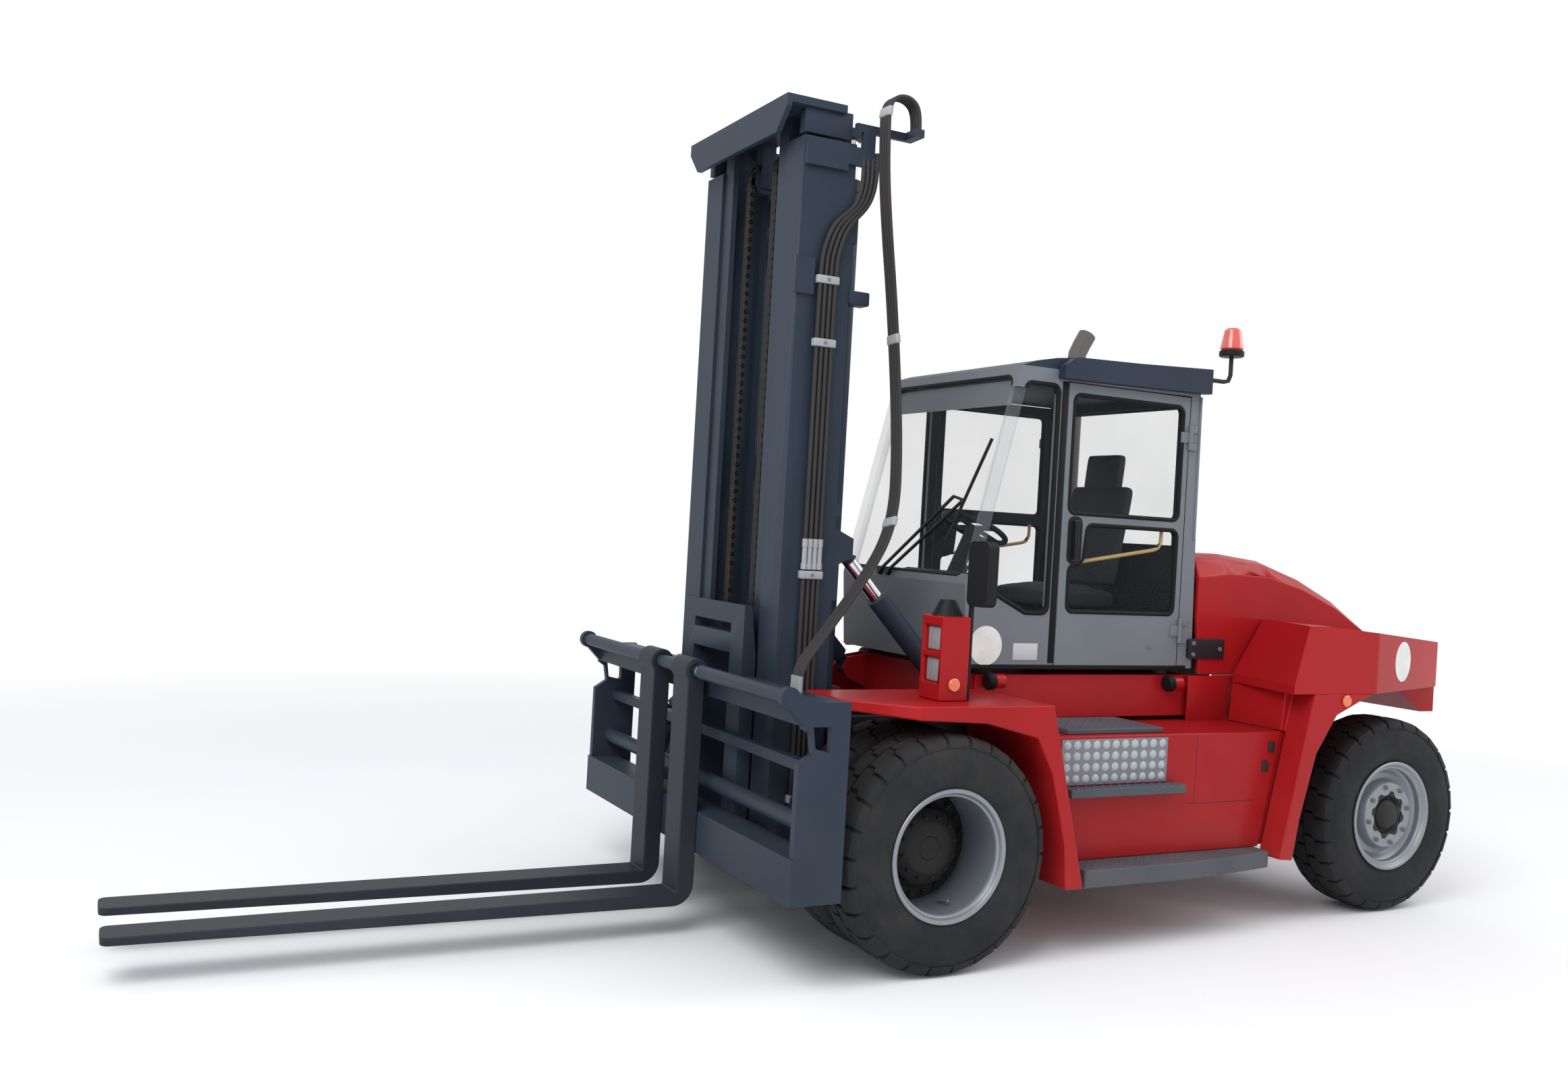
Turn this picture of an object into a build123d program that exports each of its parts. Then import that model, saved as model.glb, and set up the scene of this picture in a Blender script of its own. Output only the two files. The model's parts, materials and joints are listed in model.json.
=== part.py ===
from build123d import *
import math
import os

# Heavy counterbalance forklift in millimetres: forks towards -Y, the driver's left side towards +X,
# +Z up, origin on the ground at the middle of the overall length.
os.makedirs("parts", exist_ok=True)

# Overall layout, measured from the front axle
WHEELBASE = 3250
FORK_REACH = 3510
TAIL_REACH = 3860
FRONT_AXLE_Y = (FORK_REACH - TAIL_REACH) / 2


def aft(distance):
    """Y of a station this far behind the front axle."""
    return FRONT_AXLE_Y + distance


def aft_points(points):
    """Side outline given as (distance behind the front axle, height)."""
    return [(aft(distance), height) for distance, height in points]


REAR_AXLE_Y = aft(WHEELBASE)
SEAT_GAP = 0.3
SHAFT_GAP = 0.05

# Wheels
TYRE_R = 565
TYRE_WIDTH = 315
BEAD_R = 300
BEAD_WIDTH = 260
SHOULDER = 26
LUG_ROWS = 26
LUG_GROOVE = 24
LUG_DEPTH = 25
LUG_SKEW = 18
LUG_SLOPE = 9
SIDEWALL = (95, 165)
RIM_WALL = 24
RIM_INSET = 6
FLANGE_R = 317
FLANGE_LIP = 14
LOCK_RING = 20
FRONT_TYRE_OUTER = 1266
DUAL_PITCH = 340
REAR_TYRE_OUTER = 1080
FRONT_OUTER_X = FRONT_TYRE_OUTER - TYRE_WIDTH / 2
FRONT_INNER_X = FRONT_OUTER_X - DUAL_PITCH
REAR_WHEEL_X = REAR_TYRE_OUTER - TYRE_WIDTH / 2

# Axles
DRIVE_TUBE_R = 150
DIFF_R = 225
DRIVE_SPINDLE_R = 90
DRIVE_HUB_R = 185
DRIVE_DISC_X = 945
DRIVE_DISC = 22
HUB_DEPTH = 100
HUB_CAP = 40
HUB_CAP_BEVEL = 60
HUB_END_GAP = 5
AXLE_END_GAP = 15
REAR_DISC_SET = 40
REAR_DISH_R = 240
REAR_HUB_R = 105
REAR_HUB_FACE_R = 190
REAR_HUB_DEPTH = 85
REAR_CAP = 20
REAR_CAP_WALL = 30
AXLE_SEAT_HALF = 110
DIFF_HALF = 120
DIFF_TAPER = 140
STEER_SPINDLE_R = 60
KINGPIN_X = 640
KINGPIN_R = 45
KNUCKLE_R = 90
KNUCKLE_HEIGHT = 240
YOKE_PLATE = 50
YOKE_GAP = 6
STEER_BEAM_HALF = 520
STEER_BEAM_DEPTH = 200
YOKE_R = 80
YOKE_OVERLAP = 20
STUB_R = 100
STUB_GAP = 12

# Chassis frame
RAIL_IN = 410
RAIL_OUT = 455
RAIL_FRONT = aft(-150)
RAIL_REAR = aft(2560)
RAIL_TOP = 1100
RAIL_LOW = 450
RAIL_AXLE_CLEAR = 725
TAIL_HALF = 160
TAIL_LOW = 720
TAIL_REAR = REAR_AXLE_Y + 450
CROSS_PLATE = 40
CROSS_STATIONS = (aft(440), aft(1380))
RAIL_RISE = (aft(260), aft(420))
RAIL_FALL = (aft(2300), aft(2480))

# Mast pivot
PIVOT_Y = aft(-250)
PIVOT_Z = 520
PIVOT_PIN_R = 35
PIVOT_LUG_R = 75
PIVOT_LUG_X = 515
PIVOT_LUG_WIDTH = 50
PIVOT_CHEEK = 40
PIVOT_SIDE_GAP = 6
CHEEK_TOP = RAIL_TOP - 120
CHEEK_REAR = RAIL_FRONT + 190
CHEEK_WEB = 90
CHEEK_EDGE = 55

# Engine
ENGINE_HALF = 290
ENGINE_FRONT = aft(1600)
ENGINE_REAR = aft(2540)
ENGINE_HEAD = aft(2120)
ENGINE_LOW = 620
ENGINE_DECK = 1285
ENGINE_TOP = 1640
ENGINE_FOOT = 80
ENGINE_FOOT_Z = (760, 830)

# Deck under the cab
DECK_HALF = 600
DECK_FRONT = aft(560)
DECK_REAR = aft(2068)
DECK_TOP = 1335
DECK_PLATE = 30
DECK_FLANGE = 15
MOUNT_X = 540
MOUNT_R = 50
MOUNT_STATIONS = (aft(640), aft(1880))

# Cab
CAB_HALF = 630
CAB_WALL = 45
CAB_FLOOR = 1375
CAB_TOP = 2982
CAB_FRONT_LOW = aft(470)
CAB_FRONT_SILL = aft(441)
CAB_SILL_Z = 1808
CAB_FRONT_TOP = aft(729)
CAB_REAR_TOP = aft(2000)
CAB_REAR_LOW = aft(2045)
GLASS = 8
GLASS_INSET = 14
SCREEN_LOW = 1850
SCREEN_HIGH = 2930
SCREEN_HALF = CAB_HALF - 50
SCREEN_DEPTH = 90
SCREEN_INSET = 12
SCREEN_CORNER = 60
WINDOW_CORNER = 42
QUARTER_WINDOW = aft_points([(505, 1822), (835, 1668), (985, 1668), (985, 2895), (768, 2895)])
REAR_WINDOW_HALF = CAB_HALF - 100
REAR_WINDOW_Z = (2060, 2880)
DOOR_FRONT = aft(1050)
DOOR_REAR = aft(1925)
DOOR_TOP = 2918
DOOR_GAP = 8
DOOR_PROUD = 2
DOOR_INSET = 3
DOOR_WINDOWS = (
    aft_points([(1090, 2215), (1880, 2215), (1880, 2860), (1090, 2860)]),
    aft_points([(1110, 1680), (1880, 1680), (1880, 2160), (1225, 2160), (1205, 1950), (1110, 1930)]),
)
HANDLE_Y = (aft(1128), aft(1152))
HANDLE_Z = (1960, 2177)
HANDLE_DEPTH = 28
GRAB_RAIL = aft_points([(1150, 1943), (1754, 2043), (1791, 2085), (1791, 2175)])
GRAB_R = 9
GRAB_BEND = 24
ROOF_TOP = 3086
HINGE_X = CAB_HALF + 14
HINGE_Y = DOOR_REAR + 4
HINGE_HEIGHTS = (1560, 2660)
HINGE_LENGTH = 60
HINGE_KNUCKLE = 40
HINGE_LEAF_LENGTH = 60
HINGE_R = 12
HINGE_PIN_R = 6
HINGE_LEAF = 8
VISOR_X = 690
VISOR_FRONT = aft(970)
VISOR_REAR = aft(2029)
VISOR_LOW = 2930
VISOR_GAP = 2
ROOF_CROWN = ((0, 0), (110, 36), (230, 60), (400, 80))

# Seat and steering column
SEAT_PLINTH = 260
SEAT_PLINTH_HALF = 200
SEAT_PLINTH_Y = (aft(1340), aft(1720))
SEAT_HALF = 255
SEAT_Y = (aft(1270), aft(1790))
SEAT_CUSHION = 130
SEAT_BACK = 600
SEAT_BACK_DEPTH = 95
SEAT_BACK_LEAN = 120
SEAT_HEADREST = 190
SEAT_HEADREST_HALF = 140
DASH_HALF = 330
DASH_Y = (aft(530), aft(700), aft(810))
DASH_SHELF = 1800
DASH_TOP = 1860
COLUMN_TOP = (aft(930), 2110)
COLUMN_DIR = (0.42, 0.9075)
COLUMN_LENGTH = 430
COLUMN_R = 45
STEERING_R = 190
STEERING_RIM_R = 16
STEERING_SPOKE = 36

# Counterweight: a tail casting with two horns beside the engine bay
CW_REAR = aft(TAIL_REACH)
FENDER_OUT = 1255
CW_SET = 55
CW_HALF = FENDER_OUT - CW_SET
CW_LOW = 1301
CW_TOP = 1674
CW_REAR_TOP = 1570
CW_TAIL_HALF = 850
CW_BEVEL = 50
CW_CORNER_R = 90
CW_BELLY = 1140
CW_BELLY_RAKE = 120
BAY_HALF = 655
BAY_REAR = CW_REAR - 375
HORN_TIP = aft(2246)
HORN_ROOT = aft(2350)
HORN_STEP = 1349
HORN_RAKE_OUT = 93
HORN_RAKE_IN = 220
CW_FLANK_SHARE = 0.418
CW_FLANK_REAR = HORN_TIP + CW_FLANK_SHARE * (CW_REAR - CW_BEVEL - HORN_TIP)
CW_FALL_START = HORN_ROOT + 150
CW_SADDLE = 205
TOW_R = 22
TOW_SET = 45
TOW_JAW = (1215, 1255)
TOW_HIGH = 1540
TOW_NOTCH = (60, 105)
GRILLE_X = (90, 430)
GRILLE_Z = (1370, 1530)
GRILLE_DEPTH = 60
GRILLE_BARS = 7
GRILLE_BAR = 18
GRILLE_BAR_DEPTH = 40
GRILLE_TIE = (1440, 1460)
TAIL_LAMP_X = (560, 720)
TAIL_LAMP_Z = (1400, 1500)
TAIL_LAMP_DEPTH = 12

# Hood: sections from the cab to the counterweight as (share of the length, top height)
HOOD_FRONT = aft(2062)
HOOD_REAR = BAY_REAR - 15
HOOD_HALF = 640
HOOD_WALL = 30
HOOD_LOW = 1340
HOOD_TAIL_LOW = 1560
HOOD_LOW_SHARE = 0.45
HOOD_RAKE = 33
HOOD_RAKE_TOP = 1680
HOOD_CREST = ((0, 2030), (0.17, 2040), (0.40, 2010), (0.595, 1930), (0.81, 1800), (1, 1640))
HOOD_SHOULDERS = ((0, 0.70), (50, 0.18), (120, 0))
HOOD_SHOULDER = 190
HOOD_TAIL_SHOULDER = 55
HINGE_TAB_X = (300, 380)
HINGE_TAB_Z = (1562, 1595)

# Front fenders and side tanks
FENDER_IN = 640
FENDER_TOP = 1265
FENDER_LEG_TOP = (565, 1265)
FENDER_LEG_FOOT = (805, 357)
FENDER_ARCH = [(693, 357), (670, 585), (577, 926), (475, 1106), (173, 1180), (-259, 1203), (-480, 1215)]
FENDER_PLATE = 50
FENDER_CUT = (295, 275)
TANK_IN = RAIL_OUT
TANK_SET = 205
TANK_OUT = FENDER_OUT - TANK_SET
TANK_TOP = 1075
TANK_LOW = 440
TANK_REAR_TOP = aft(2330)
TANK_REAR_LOW = aft(2200)
TOP_STEP_SET = 50
TOP_STEP_X = (610, TANK_OUT - TOP_STEP_SET)
TOP_STEP_Y = (aft(866), aft(1511))
TOP_STEP = 28
TREAD_REACH = 80
TREAD_X = TANK_OUT + TREAD_REACH
TREAD_Y = (aft(803), aft(1571))
TREAD_Z = (775, 820)
BOARD_LAP = 60
BOARD_IN = TANK_OUT - BOARD_LAP
BOARD_REACH = 180
BOARD_X = TANK_OUT + BOARD_REACH
BOARD_TAIL_REACH = 100
BOARD_TAIL_X = TANK_OUT + BOARD_TAIL_REACH
BOARD_Y = (aft(831), aft(1569), aft(2177))
BOARD_LOW = 350
BUBBLE_PLATE = 5
BUBBLE_Y = (aft(786), aft(1495))
BUBBLE_Z = (827, 1060)
REAR_FENDER_OUT = CW_HALF
REAR_ARCH = [(2408, CW_LOW), (2206, 401), (2305, 391), (2346, 619), (2447, 971), (2593, 1182), (2880, CW_LOW)]
REAR_PANEL = (aft(2330), aft(2400), aft(2420), HORN_ROOT)

# Lamps, mirrors, beacon and exhaust
POST_X = (FENDER_OUT - 335, FENDER_OUT - 155)
POST_Y = (aft(-7), aft(155))
POST_TOP = 1670
LAMP_HEIGHTS = (1350, 1500)
LAMP_SIZE = 120
LAMP_FRAME = 25
LAMP_POCKET = 70
LAMP_RECESS = 20
DOME_R = 78
DOME_HEIGHT = 76
MARKER_R = 32
MARKER_DEPTH = 14
POST_MARKER = (aft(70), 1345)
REAR_MARKER = (aft(2655), 1262)
MIRROR_X = (FENDER_OUT - 190, FENDER_OUT - 30)
MIRROR_Z = (1723, 2036)
MIRROR_DEPTH = 60
MIRROR_CORNER = 38
MIRROR_ROD_X = FENDER_OUT - 180
MIRROR_ROD_R = 13
BEACON_X = 645
BEACON_Y = aft(2205)
BEACON_ARM = 24
BEACON_ARM_Z = 3020
BEACON_BASE_Z = 3180
BEACON_BASE = 35
BEACON_R = 70
BEACON_TOP_R = 45
BEACON_HEIGHT = 130
EXHAUST_X = -720
EXHAUST_Y = aft(2190)
EXHAUST_R = 60
EXHAUST_BEND_Z = 3330
EXHAUST_TIP = 170
EXHAUST_TIP_DIR = (0.5, 0.866)

# Wiper: two arms from the lower screen frame to a blade, as (x, height) on the screen
WIPER_PIVOTS = ((-205, 1829), (-120, 1829))
WIPER_TOPS = ((345, 2265), (443, 2246))
WIPER_BLADE = ((384, 2028), (558, 2578))
WIPER_PIVOT_R = 18
WIPER_ARM = 16
WIPER_LIFT = 14
WIPER_THICK = 12

# Mast
MAST_HALF = 570
MAST_FRONT = aft(-615)
MAST_REAR = aft(-320)
MAST_PLATE = 30
MAST_LIP_X = 372
MAST_LOW = 260
HEAD_TOP = 4149
MAST_TOP = HEAD_TOP - 179
INNER_OUT = 365
INNER_IN = 266
INNER_FRONT = aft(-600)
INNER_REAR = aft(-350)
INNER_LOW = 300
HEAD_HALF = 580
HEAD_FRONT = aft(-728)
HEAD_BACK = aft(-391)
HEAD_PLATE = 40
HEAD_LOW = HEAD_TOP - HEAD_PLATE
HEAD_BAND = 28
HEAD_BAND_LOW = HEAD_TOP - 169
HEAD_BAND_HALF = 475
HEAD_BAND_EDGE = 60
ROLLER_Y = (MAST_FRONT + MAST_REAR) / 2
ROLLER_R = 112
LIFT_X = 340
LIFT_Y = aft(-225)
LIFT_BARREL_R = 60
LIFT_ROD_R = 40
LIFT_BARREL_TOP = HEAD_TOP - 299
LIFT_BORE_LOW = 1900
LIFT_ROD_LOW = 1940
LIFT_FOOT = 80
LIFT_BRIDGE = 60
LIFT_BRIDGE_PLATE = 50
OUTER_TIES = ((300, 440), (1700, 1880), (MAST_TOP - 490, MAST_TOP - 310))
INNER_TIES = ((INNER_LOW, 450), (2300, 2450), (HEAD_TOP - 449, HEAD_TOP - 299))
TIE_PLATE = 30
INNER_TIE_PLATE = 15
FOOT_ROLLER_Z = 430
RUNNING_GAP = 10
SHEAVE_Z = HEAD_TOP - 249
SHEAVE_CHEEK = 12
SHEAVE_CHEEK_HALF = 40
SHEAVE_R = 70
SHEAVE_WIDTH = 56
CHAIN_X = 150
CHAIN_WIDTH = 50
CHAIN_THICK = 24
CHAIN_FRONT_LOW = 1500
ANCHOR_Z = 2120
ANCHOR = 60
ANCHOR_GRIP = 18
CHAIN_REAR_LOW = ANCHOR_Z + ANCHOR
HEAD_CLAMP = (aft(-611), aft(-377), MAST_TOP - 145, MAST_TOP - 10)
MID_CLAMP = (aft(-637), aft(-530), 3195, 3375)
MID_CLAMP_PLATE = 20
ARM_PLATE = 25
ARM_FOOT = [(-400, MAST_TOP - 110), (-230, MAST_TOP - 110), (-230, MAST_TOP + 90), (-300, MAST_TOP + 90),
            (-300, MAST_TOP - 20), (-400, MAST_TOP - 20)]
ARM_Y = (aft(-340), aft(-10))
ARM_Z = (MAST_TOP + 60, MAST_TOP + 100)
ARM_TIP = 50
PIPE_R = 11
PIPE_X = MAST_HALF + 22
PIPE_PITCH = 28
PIPE_FIRST = aft(-500)
PIPE_Z = (620, MAST_TOP - 330)
PIPE_COUNT = 4
CLIP_RISE = 80
CLIP_DROPS = (1837, 550, 346, 80)
CLIP_HEIGHTS = (PIPE_Z[0] + CLIP_RISE, *(PIPE_Z[1] - drop for drop in CLIP_DROPS))
CLIP = 40
CLIP_EDGE = 9

# Tilt cylinders
TILT_X = 510
TILT_EYE_WIDTH = 74
TILT_LUG = 16
TILT_SIDE_GAP = 7
TILT_MAST_EYE = (aft(-260), 1964)
TILT_ANCHOR = (aft(430), 1250)
TILT_BARREL_R = 55
TILT_BARREL_LENGTH = 650
TILT_ROD_R = 35
TILT_EYE_R = 48
TILT_PIN_R = 28
TILT_NECK = 92
TILT_CHEEK_R = 60
TILT_ROD_START = 290

# Carriage and forks
CARRIAGE_HALF = 1307
CARRIAGE_SIDE = 40
CARRIAGE_FRONT = aft(-860)
CARRIAGE_REAR = aft(-610)
CARRIAGE_LOW = 410
CARRIAGE_TOP = 1297
SIDE_NOTCH = [(-860, 1026), (-790, 1072), (-805, 1156), (-842, 1180)]
SIDE_WINDOW = aft_points([(-780, 1092), (-700, 1075), (-704, 1208), (-800, 1219)])
SIDE_WINDOW_CORNER = 12
BEAM_BACK = aft(-700)
TOP_BEAM_FRONT = aft(-840)
TOP_BEAM_LOW = 1190
LOW_BEAM_TOP = 615
CROSS_TUBE_R = 40
CROSS_TUBE = (aft(-750), 740)
CROSS_BAR_Z = (960, 1010)
TOWER_X = 374
TOWER_WALL = 24
TOWER_FACE = 20
TOWER_TOP = 1650
TOWER_TIE = 100
TOWER_RAKE = 250
TOWER_LIP = 40
ARM_IN = 225
ARM_OUT = 250
ARM_REAR = aft(-420)
ARM_TRIM = (20, 30)
CARRIAGE_ROLLERS = (560, 1480)
CARRIAGE_ROLLER_R = 90
CARRIAGE_STUB_R = 30
ROLLER_SIDE_GAP = 8
CHAIN_LUG = 35
CHAIN_BAR_LOW = 1400
CHAIN_LUG_LOW = 1430
CHAIN_BAR = 60
SHAFT_R = 35
SHAFT_Z = 1316
SHANK_FRONT = aft(-960)
SHANK_BACK = aft(-870)
SHAFT_Y = (SHANK_FRONT + SHANK_BACK) / 2
HOOK_R = 62
SHAFT_EYE_R = 48
FORK_X = 222
FORK_WIDTH = 190
FORK_TOP = 217
FORK_THICK = 67
FORK_TIP_THICK = 35
FORK_TIP_Y = aft(-FORK_REACH)
FORK_TIP_CORNER = 35
HEEL_R = 105
CROTCH_R = 45

# Free hoses, as (x, distance behind the front axle, height)
HOSE_R = 10
HOSE_PITCH = 23
HOSE_COUNT = 4
HOSE_ROUTE = [(650, -34, 4070), (650, -34, 4164), (650, -87, 4217), (650, -162, 4217), (650, -215, 4164),
              (650, -212, 4020), (650, -200, 3800), (652, -167, 3530), (660, -130, 3250), (677, -105, 2970),
              (702, -90, 2690), (735, -90, 2420), (775, -112, 2200), (815, -175, 2020), (860, -300, 1850),
              (910, -450, 1690), (965, -600, 1540), (1020, -715, 1440), (1046, -750, 1360),
              (1046, -750, 1297)]


def save(piece, name):
    """Label a finished piece and write it as its own file."""
    piece.part.label = name
    export_step(piece.part, f"parts/{name}.step")


def block(x, y, z, mode=Mode.ADD):
    """A box between pairs of limits."""
    with Locations((sum(x) / 2, sum(y) / 2, sum(z) / 2)):
        Box(x[1] - x[0], y[1] - y[0], z[1] - z[0], mode=mode)


def side_plate(outline, x, mode=Mode.ADD, gap=0, corner=0):
    """A solid of one (y, z) outline between two X limits, rounded and drawn in by a gap all round."""
    with BuildSketch(Plane.YZ.offset(x[0]), mode=Mode.PRIVATE) as face:
        with BuildLine():
            Polyline(*outline, close=True)
        make_face()
        if corner:
            fillet(face.vertices(), corner)
        if gap:
            offset(amount=-gap, kind=Kind.INTERSECTION, mode=Mode.REPLACE)
    extrude(face.sketch, amount=x[1] - x[0], mode=mode)


def plan_plate(outline, z, mode=Mode.ADD):
    """A solid of one (x, y) outline between two heights."""
    with BuildSketch(Plane.XY.offset(z[0]), mode=Mode.PRIVATE) as face:
        with BuildLine():
            Polyline(*outline, close=True)
        make_face()
    extrude(face.sketch, amount=z[1] - z[0], mode=mode)


def front_plate(outline, y, mode=Mode.ADD):
    """A solid of one (x, z) outline between two Y limits."""
    plane = Plane(origin=(0, y[1], 0), x_dir=(1, 0, 0), z_dir=(0, -1, 0))
    with BuildSketch(plane, mode=Mode.PRIVATE) as face:
        with BuildLine():
            Polyline(*outline, close=True)
        make_face()
    extrude(face.sketch, amount=y[1] - y[0], mode=mode)


def cross_rod(x, y, z, radius, mode=Mode.ADD):
    """A cylinder along X between two X limits."""
    with Locations(Plane(origin=(x[0], y, z), x_dir=(0, 1, 0), z_dir=(1, 0, 0))):
        Cylinder(radius, x[1] - x[0], align=(Align.CENTER, Align.CENTER, Align.MIN), mode=mode)


def upright_rod(x, y, z, radius, mode=Mode.ADD):
    """A cylinder along Z between two heights."""
    with Locations((x, y, z[0])):
        Cylinder(radius, z[1] - z[0], align=(Align.CENTER, Align.CENTER, Align.MIN), mode=mode)


def spun(profile, axle_y, mode=Mode.ADD):
    """A ring about an axle along X, from (x, radius) points."""
    plane = Plane.XY.offset(TYRE_R)
    with BuildSketch(plane, mode=Mode.PRIVATE) as face:
        with BuildLine():
            Polyline(*[(x, axle_y + radius) for x, radius in profile], close=True)
        make_face()
    revolve(face.sketch, axis=Axis((0, axle_y, TYRE_R), (1, 0, 0)), mode=mode)


def slant_rod(start, direction, span, x, radius, mode=Mode.ADD):
    """A cylinder in a plane of constant X, from span[0] to span[1] along a (y, z) direction."""
    origin = (x, start[0] + direction[0] * span[0], start[1] + direction[1] * span[0])
    with Locations(Plane(origin=origin, x_dir=(1, 0, 0), z_dir=(0, direction[0], direction[1]))):
        Cylinder(radius, span[1] - span[0], align=(Align.CENTER, Align.CENTER, Align.MIN), mode=mode)


# Tyres: a crowned casing from the bead seats out, with skewed grooves between its lugs
def tyre_profile(centre):
    half = TYRE_WIDTH / 2
    right = [
        (centre + half - 2 * SHOULDER, TYRE_R),
        (centre + half - SHOULDER, TYRE_R - SHOULDER),
        (centre + half, TYRE_R - SIDEWALL[0]),
        (centre + half, TYRE_R - SIDEWALL[1]),
        (centre + BEAD_WIDTH / 2, BEAD_R),
    ]
    left = [(2 * centre - x, radius) for x, radius in reversed(right)]
    return left + right


def lugged_tyre(centre, axle_y):
    """A tyre whose two rows of lugs lie half a pitch apart."""
    spun(tyre_profile(centre), axle_y)
    for row, start in ((1, 0), (-1, 180 / LUG_ROWS)):
        middle = centre + row * TYRE_WIDTH / 4
        with Locations(Plane(origin=(middle, axle_y, TYRE_R), x_dir=(0, 1, 0), z_dir=(1, 0, 0))):
            with PolarLocations(TYRE_R, LUG_ROWS, start_angle=start):
                Box(2 * LUG_DEPTH, LUG_GROOVE, TYRE_WIDTH / 2 + LUG_GROOVE,
                    rotation=(row * LUG_SKEW, row * LUG_SLOPE, 0), mode=Mode.SUBTRACT)


# Wheels: a barrel with a lock ring at its outer flange, a dished disc and a hub inside
BARREL_R = BEAD_R - SEAT_GAP
BARREL_IN = BARREL_R - RIM_WALL
FRONT_RIM_OUT = FRONT_TYRE_OUTER - 8
FRONT_RIM_IN = FRONT_INNER_X - BEAD_WIDTH / 2 - FLANGE_LIP - RIM_INSET
REAR_RIM_OUT = REAR_TYRE_OUTER - 1
REAR_RIM_IN = REAR_WHEEL_X - BEAD_WIDTH / 2 - FLANGE_LIP - RIM_INSET
HUB_BORE_END = DRIVE_DISC_X + HUB_DEPTH


def barrel(outer, inner):
    return [
        (outer - LOCK_RING, BARREL_IN),
        (outer - LOCK_RING, BARREL_R - RIM_WALL / 2),
        (outer, FLANGE_R - FLANGE_LIP),
        (outer, FLANGE_R),
        (outer - FLANGE_LIP, FLANGE_R),
        (outer - FLANGE_LIP, BARREL_R),
        (inner, BARREL_R),
        (inner, BARREL_IN),
    ]


front_hub = [
    (DRIVE_DISC_X, DRIVE_SPINDLE_R + SHAFT_GAP),
    (DRIVE_DISC_X, BARREL_R - RIM_WALL / 2),
    (DRIVE_DISC_X + DRIVE_DISC, BARREL_R - RIM_WALL / 2),
    (DRIVE_DISC_X + 2 * DRIVE_DISC, DRIVE_HUB_R),
    (HUB_BORE_END, DRIVE_HUB_R),
    (HUB_BORE_END + HUB_CAP, DRIVE_HUB_R - HUB_CAP_BEVEL),
    (HUB_BORE_END + HUB_CAP, 0),
    (HUB_BORE_END, 0),
    (HUB_BORE_END, DRIVE_SPINDLE_R + SHAFT_GAP),
]
REAR_DISC_X = REAR_WHEEL_X + REAR_DISC_SET
REAR_HUB_FACE = REAR_DISC_X + REAR_HUB_DEPTH
REAR_HUB_END = REAR_HUB_FACE + REAR_CAP
rear_hub = [
    (REAR_DISC_X, STEER_SPINDLE_R + SHAFT_GAP),
    (REAR_DISC_X, BARREL_R - RIM_WALL / 2),
    (REAR_DISC_X + 2 * DRIVE_DISC, BARREL_R - RIM_WALL / 2),
    (REAR_DISC_X + 2 * DRIVE_DISC, BARREL_IN - RIM_WALL / 2),
    (REAR_DISC_X + DRIVE_DISC, REAR_DISH_R),
    (REAR_DISC_X + DRIVE_DISC, REAR_HUB_FACE_R + DRIVE_DISC),
    (REAR_HUB_FACE - HUB_CAP, REAR_HUB_FACE_R + REAR_CAP / 4),
    (REAR_HUB_FACE, REAR_HUB_FACE_R - REAR_CAP / 4),
    (REAR_HUB_FACE, REAR_HUB_R),
    (REAR_HUB_END, REAR_HUB_R - REAR_CAP / 2),
    (REAR_HUB_END, 0),
    (REAR_HUB_END - REAR_CAP_WALL, 0),
    (REAR_HUB_END - REAR_CAP_WALL, STEER_SPINDLE_R + SHAFT_GAP),
]

for side, sign in (("left", 1), ("right", -1)):
    with BuildPart() as rims:
        spun([(sign * x, r) for x, r in barrel(FRONT_RIM_OUT, FRONT_RIM_IN)], aft(0))
        spun([(sign * x, r) for x, r in front_hub], aft(0))
    save(rims, f"front_{side}_rims")
    with BuildPart() as tyres:
        lugged_tyre(sign * FRONT_OUTER_X, aft(0))
        with BuildPart(mode=Mode.PRIVATE) as inner_tyre:
            lugged_tyre(sign * FRONT_INNER_X, aft(0))
        add(inner_tyre.part)
    save(tyres, f"front_{side}_tyres")
    with BuildPart() as rim:
        spun([(sign * x, r) for x, r in barrel(REAR_RIM_OUT, REAR_RIM_IN)], REAR_AXLE_Y)
        spun([(sign * x, r) for x, r in rear_hub], REAR_AXLE_Y)
    save(rim, f"rear_{side}_rim")
    with BuildPart() as tyre:
        lugged_tyre(sign * REAR_WHEEL_X, REAR_AXLE_Y)
    save(tyre, f"rear_{side}_tyre")

# Drive axle: differential housing, tubes and the spindles that carry the front hubs
TUBE_END = DRIVE_DISC_X - AXLE_END_GAP
with BuildPart() as drive_axle:
    spun([(0, 0), (0, DIFF_R), (DIFF_HALF, DIFF_R), (DIFF_HALF + DIFF_TAPER, DRIVE_TUBE_R),
          (TUBE_END, DRIVE_TUBE_R), (TUBE_END, DRIVE_SPINDLE_R),
          (HUB_BORE_END - HUB_END_GAP, DRIVE_SPINDLE_R), (HUB_BORE_END - HUB_END_GAP, 0)], aft(0))
    mirror(about=Plane.YZ)
    for sign in (1, -1):
        seat_x = sorted((sign * RAIL_IN, sign * RAIL_OUT))
        block(seat_x, (aft(-AXLE_SEAT_HALF), aft(AXLE_SEAT_HALF)), (TYRE_R, RAIL_AXLE_CLEAR))
save(drive_axle, "drive_axle")

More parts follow.
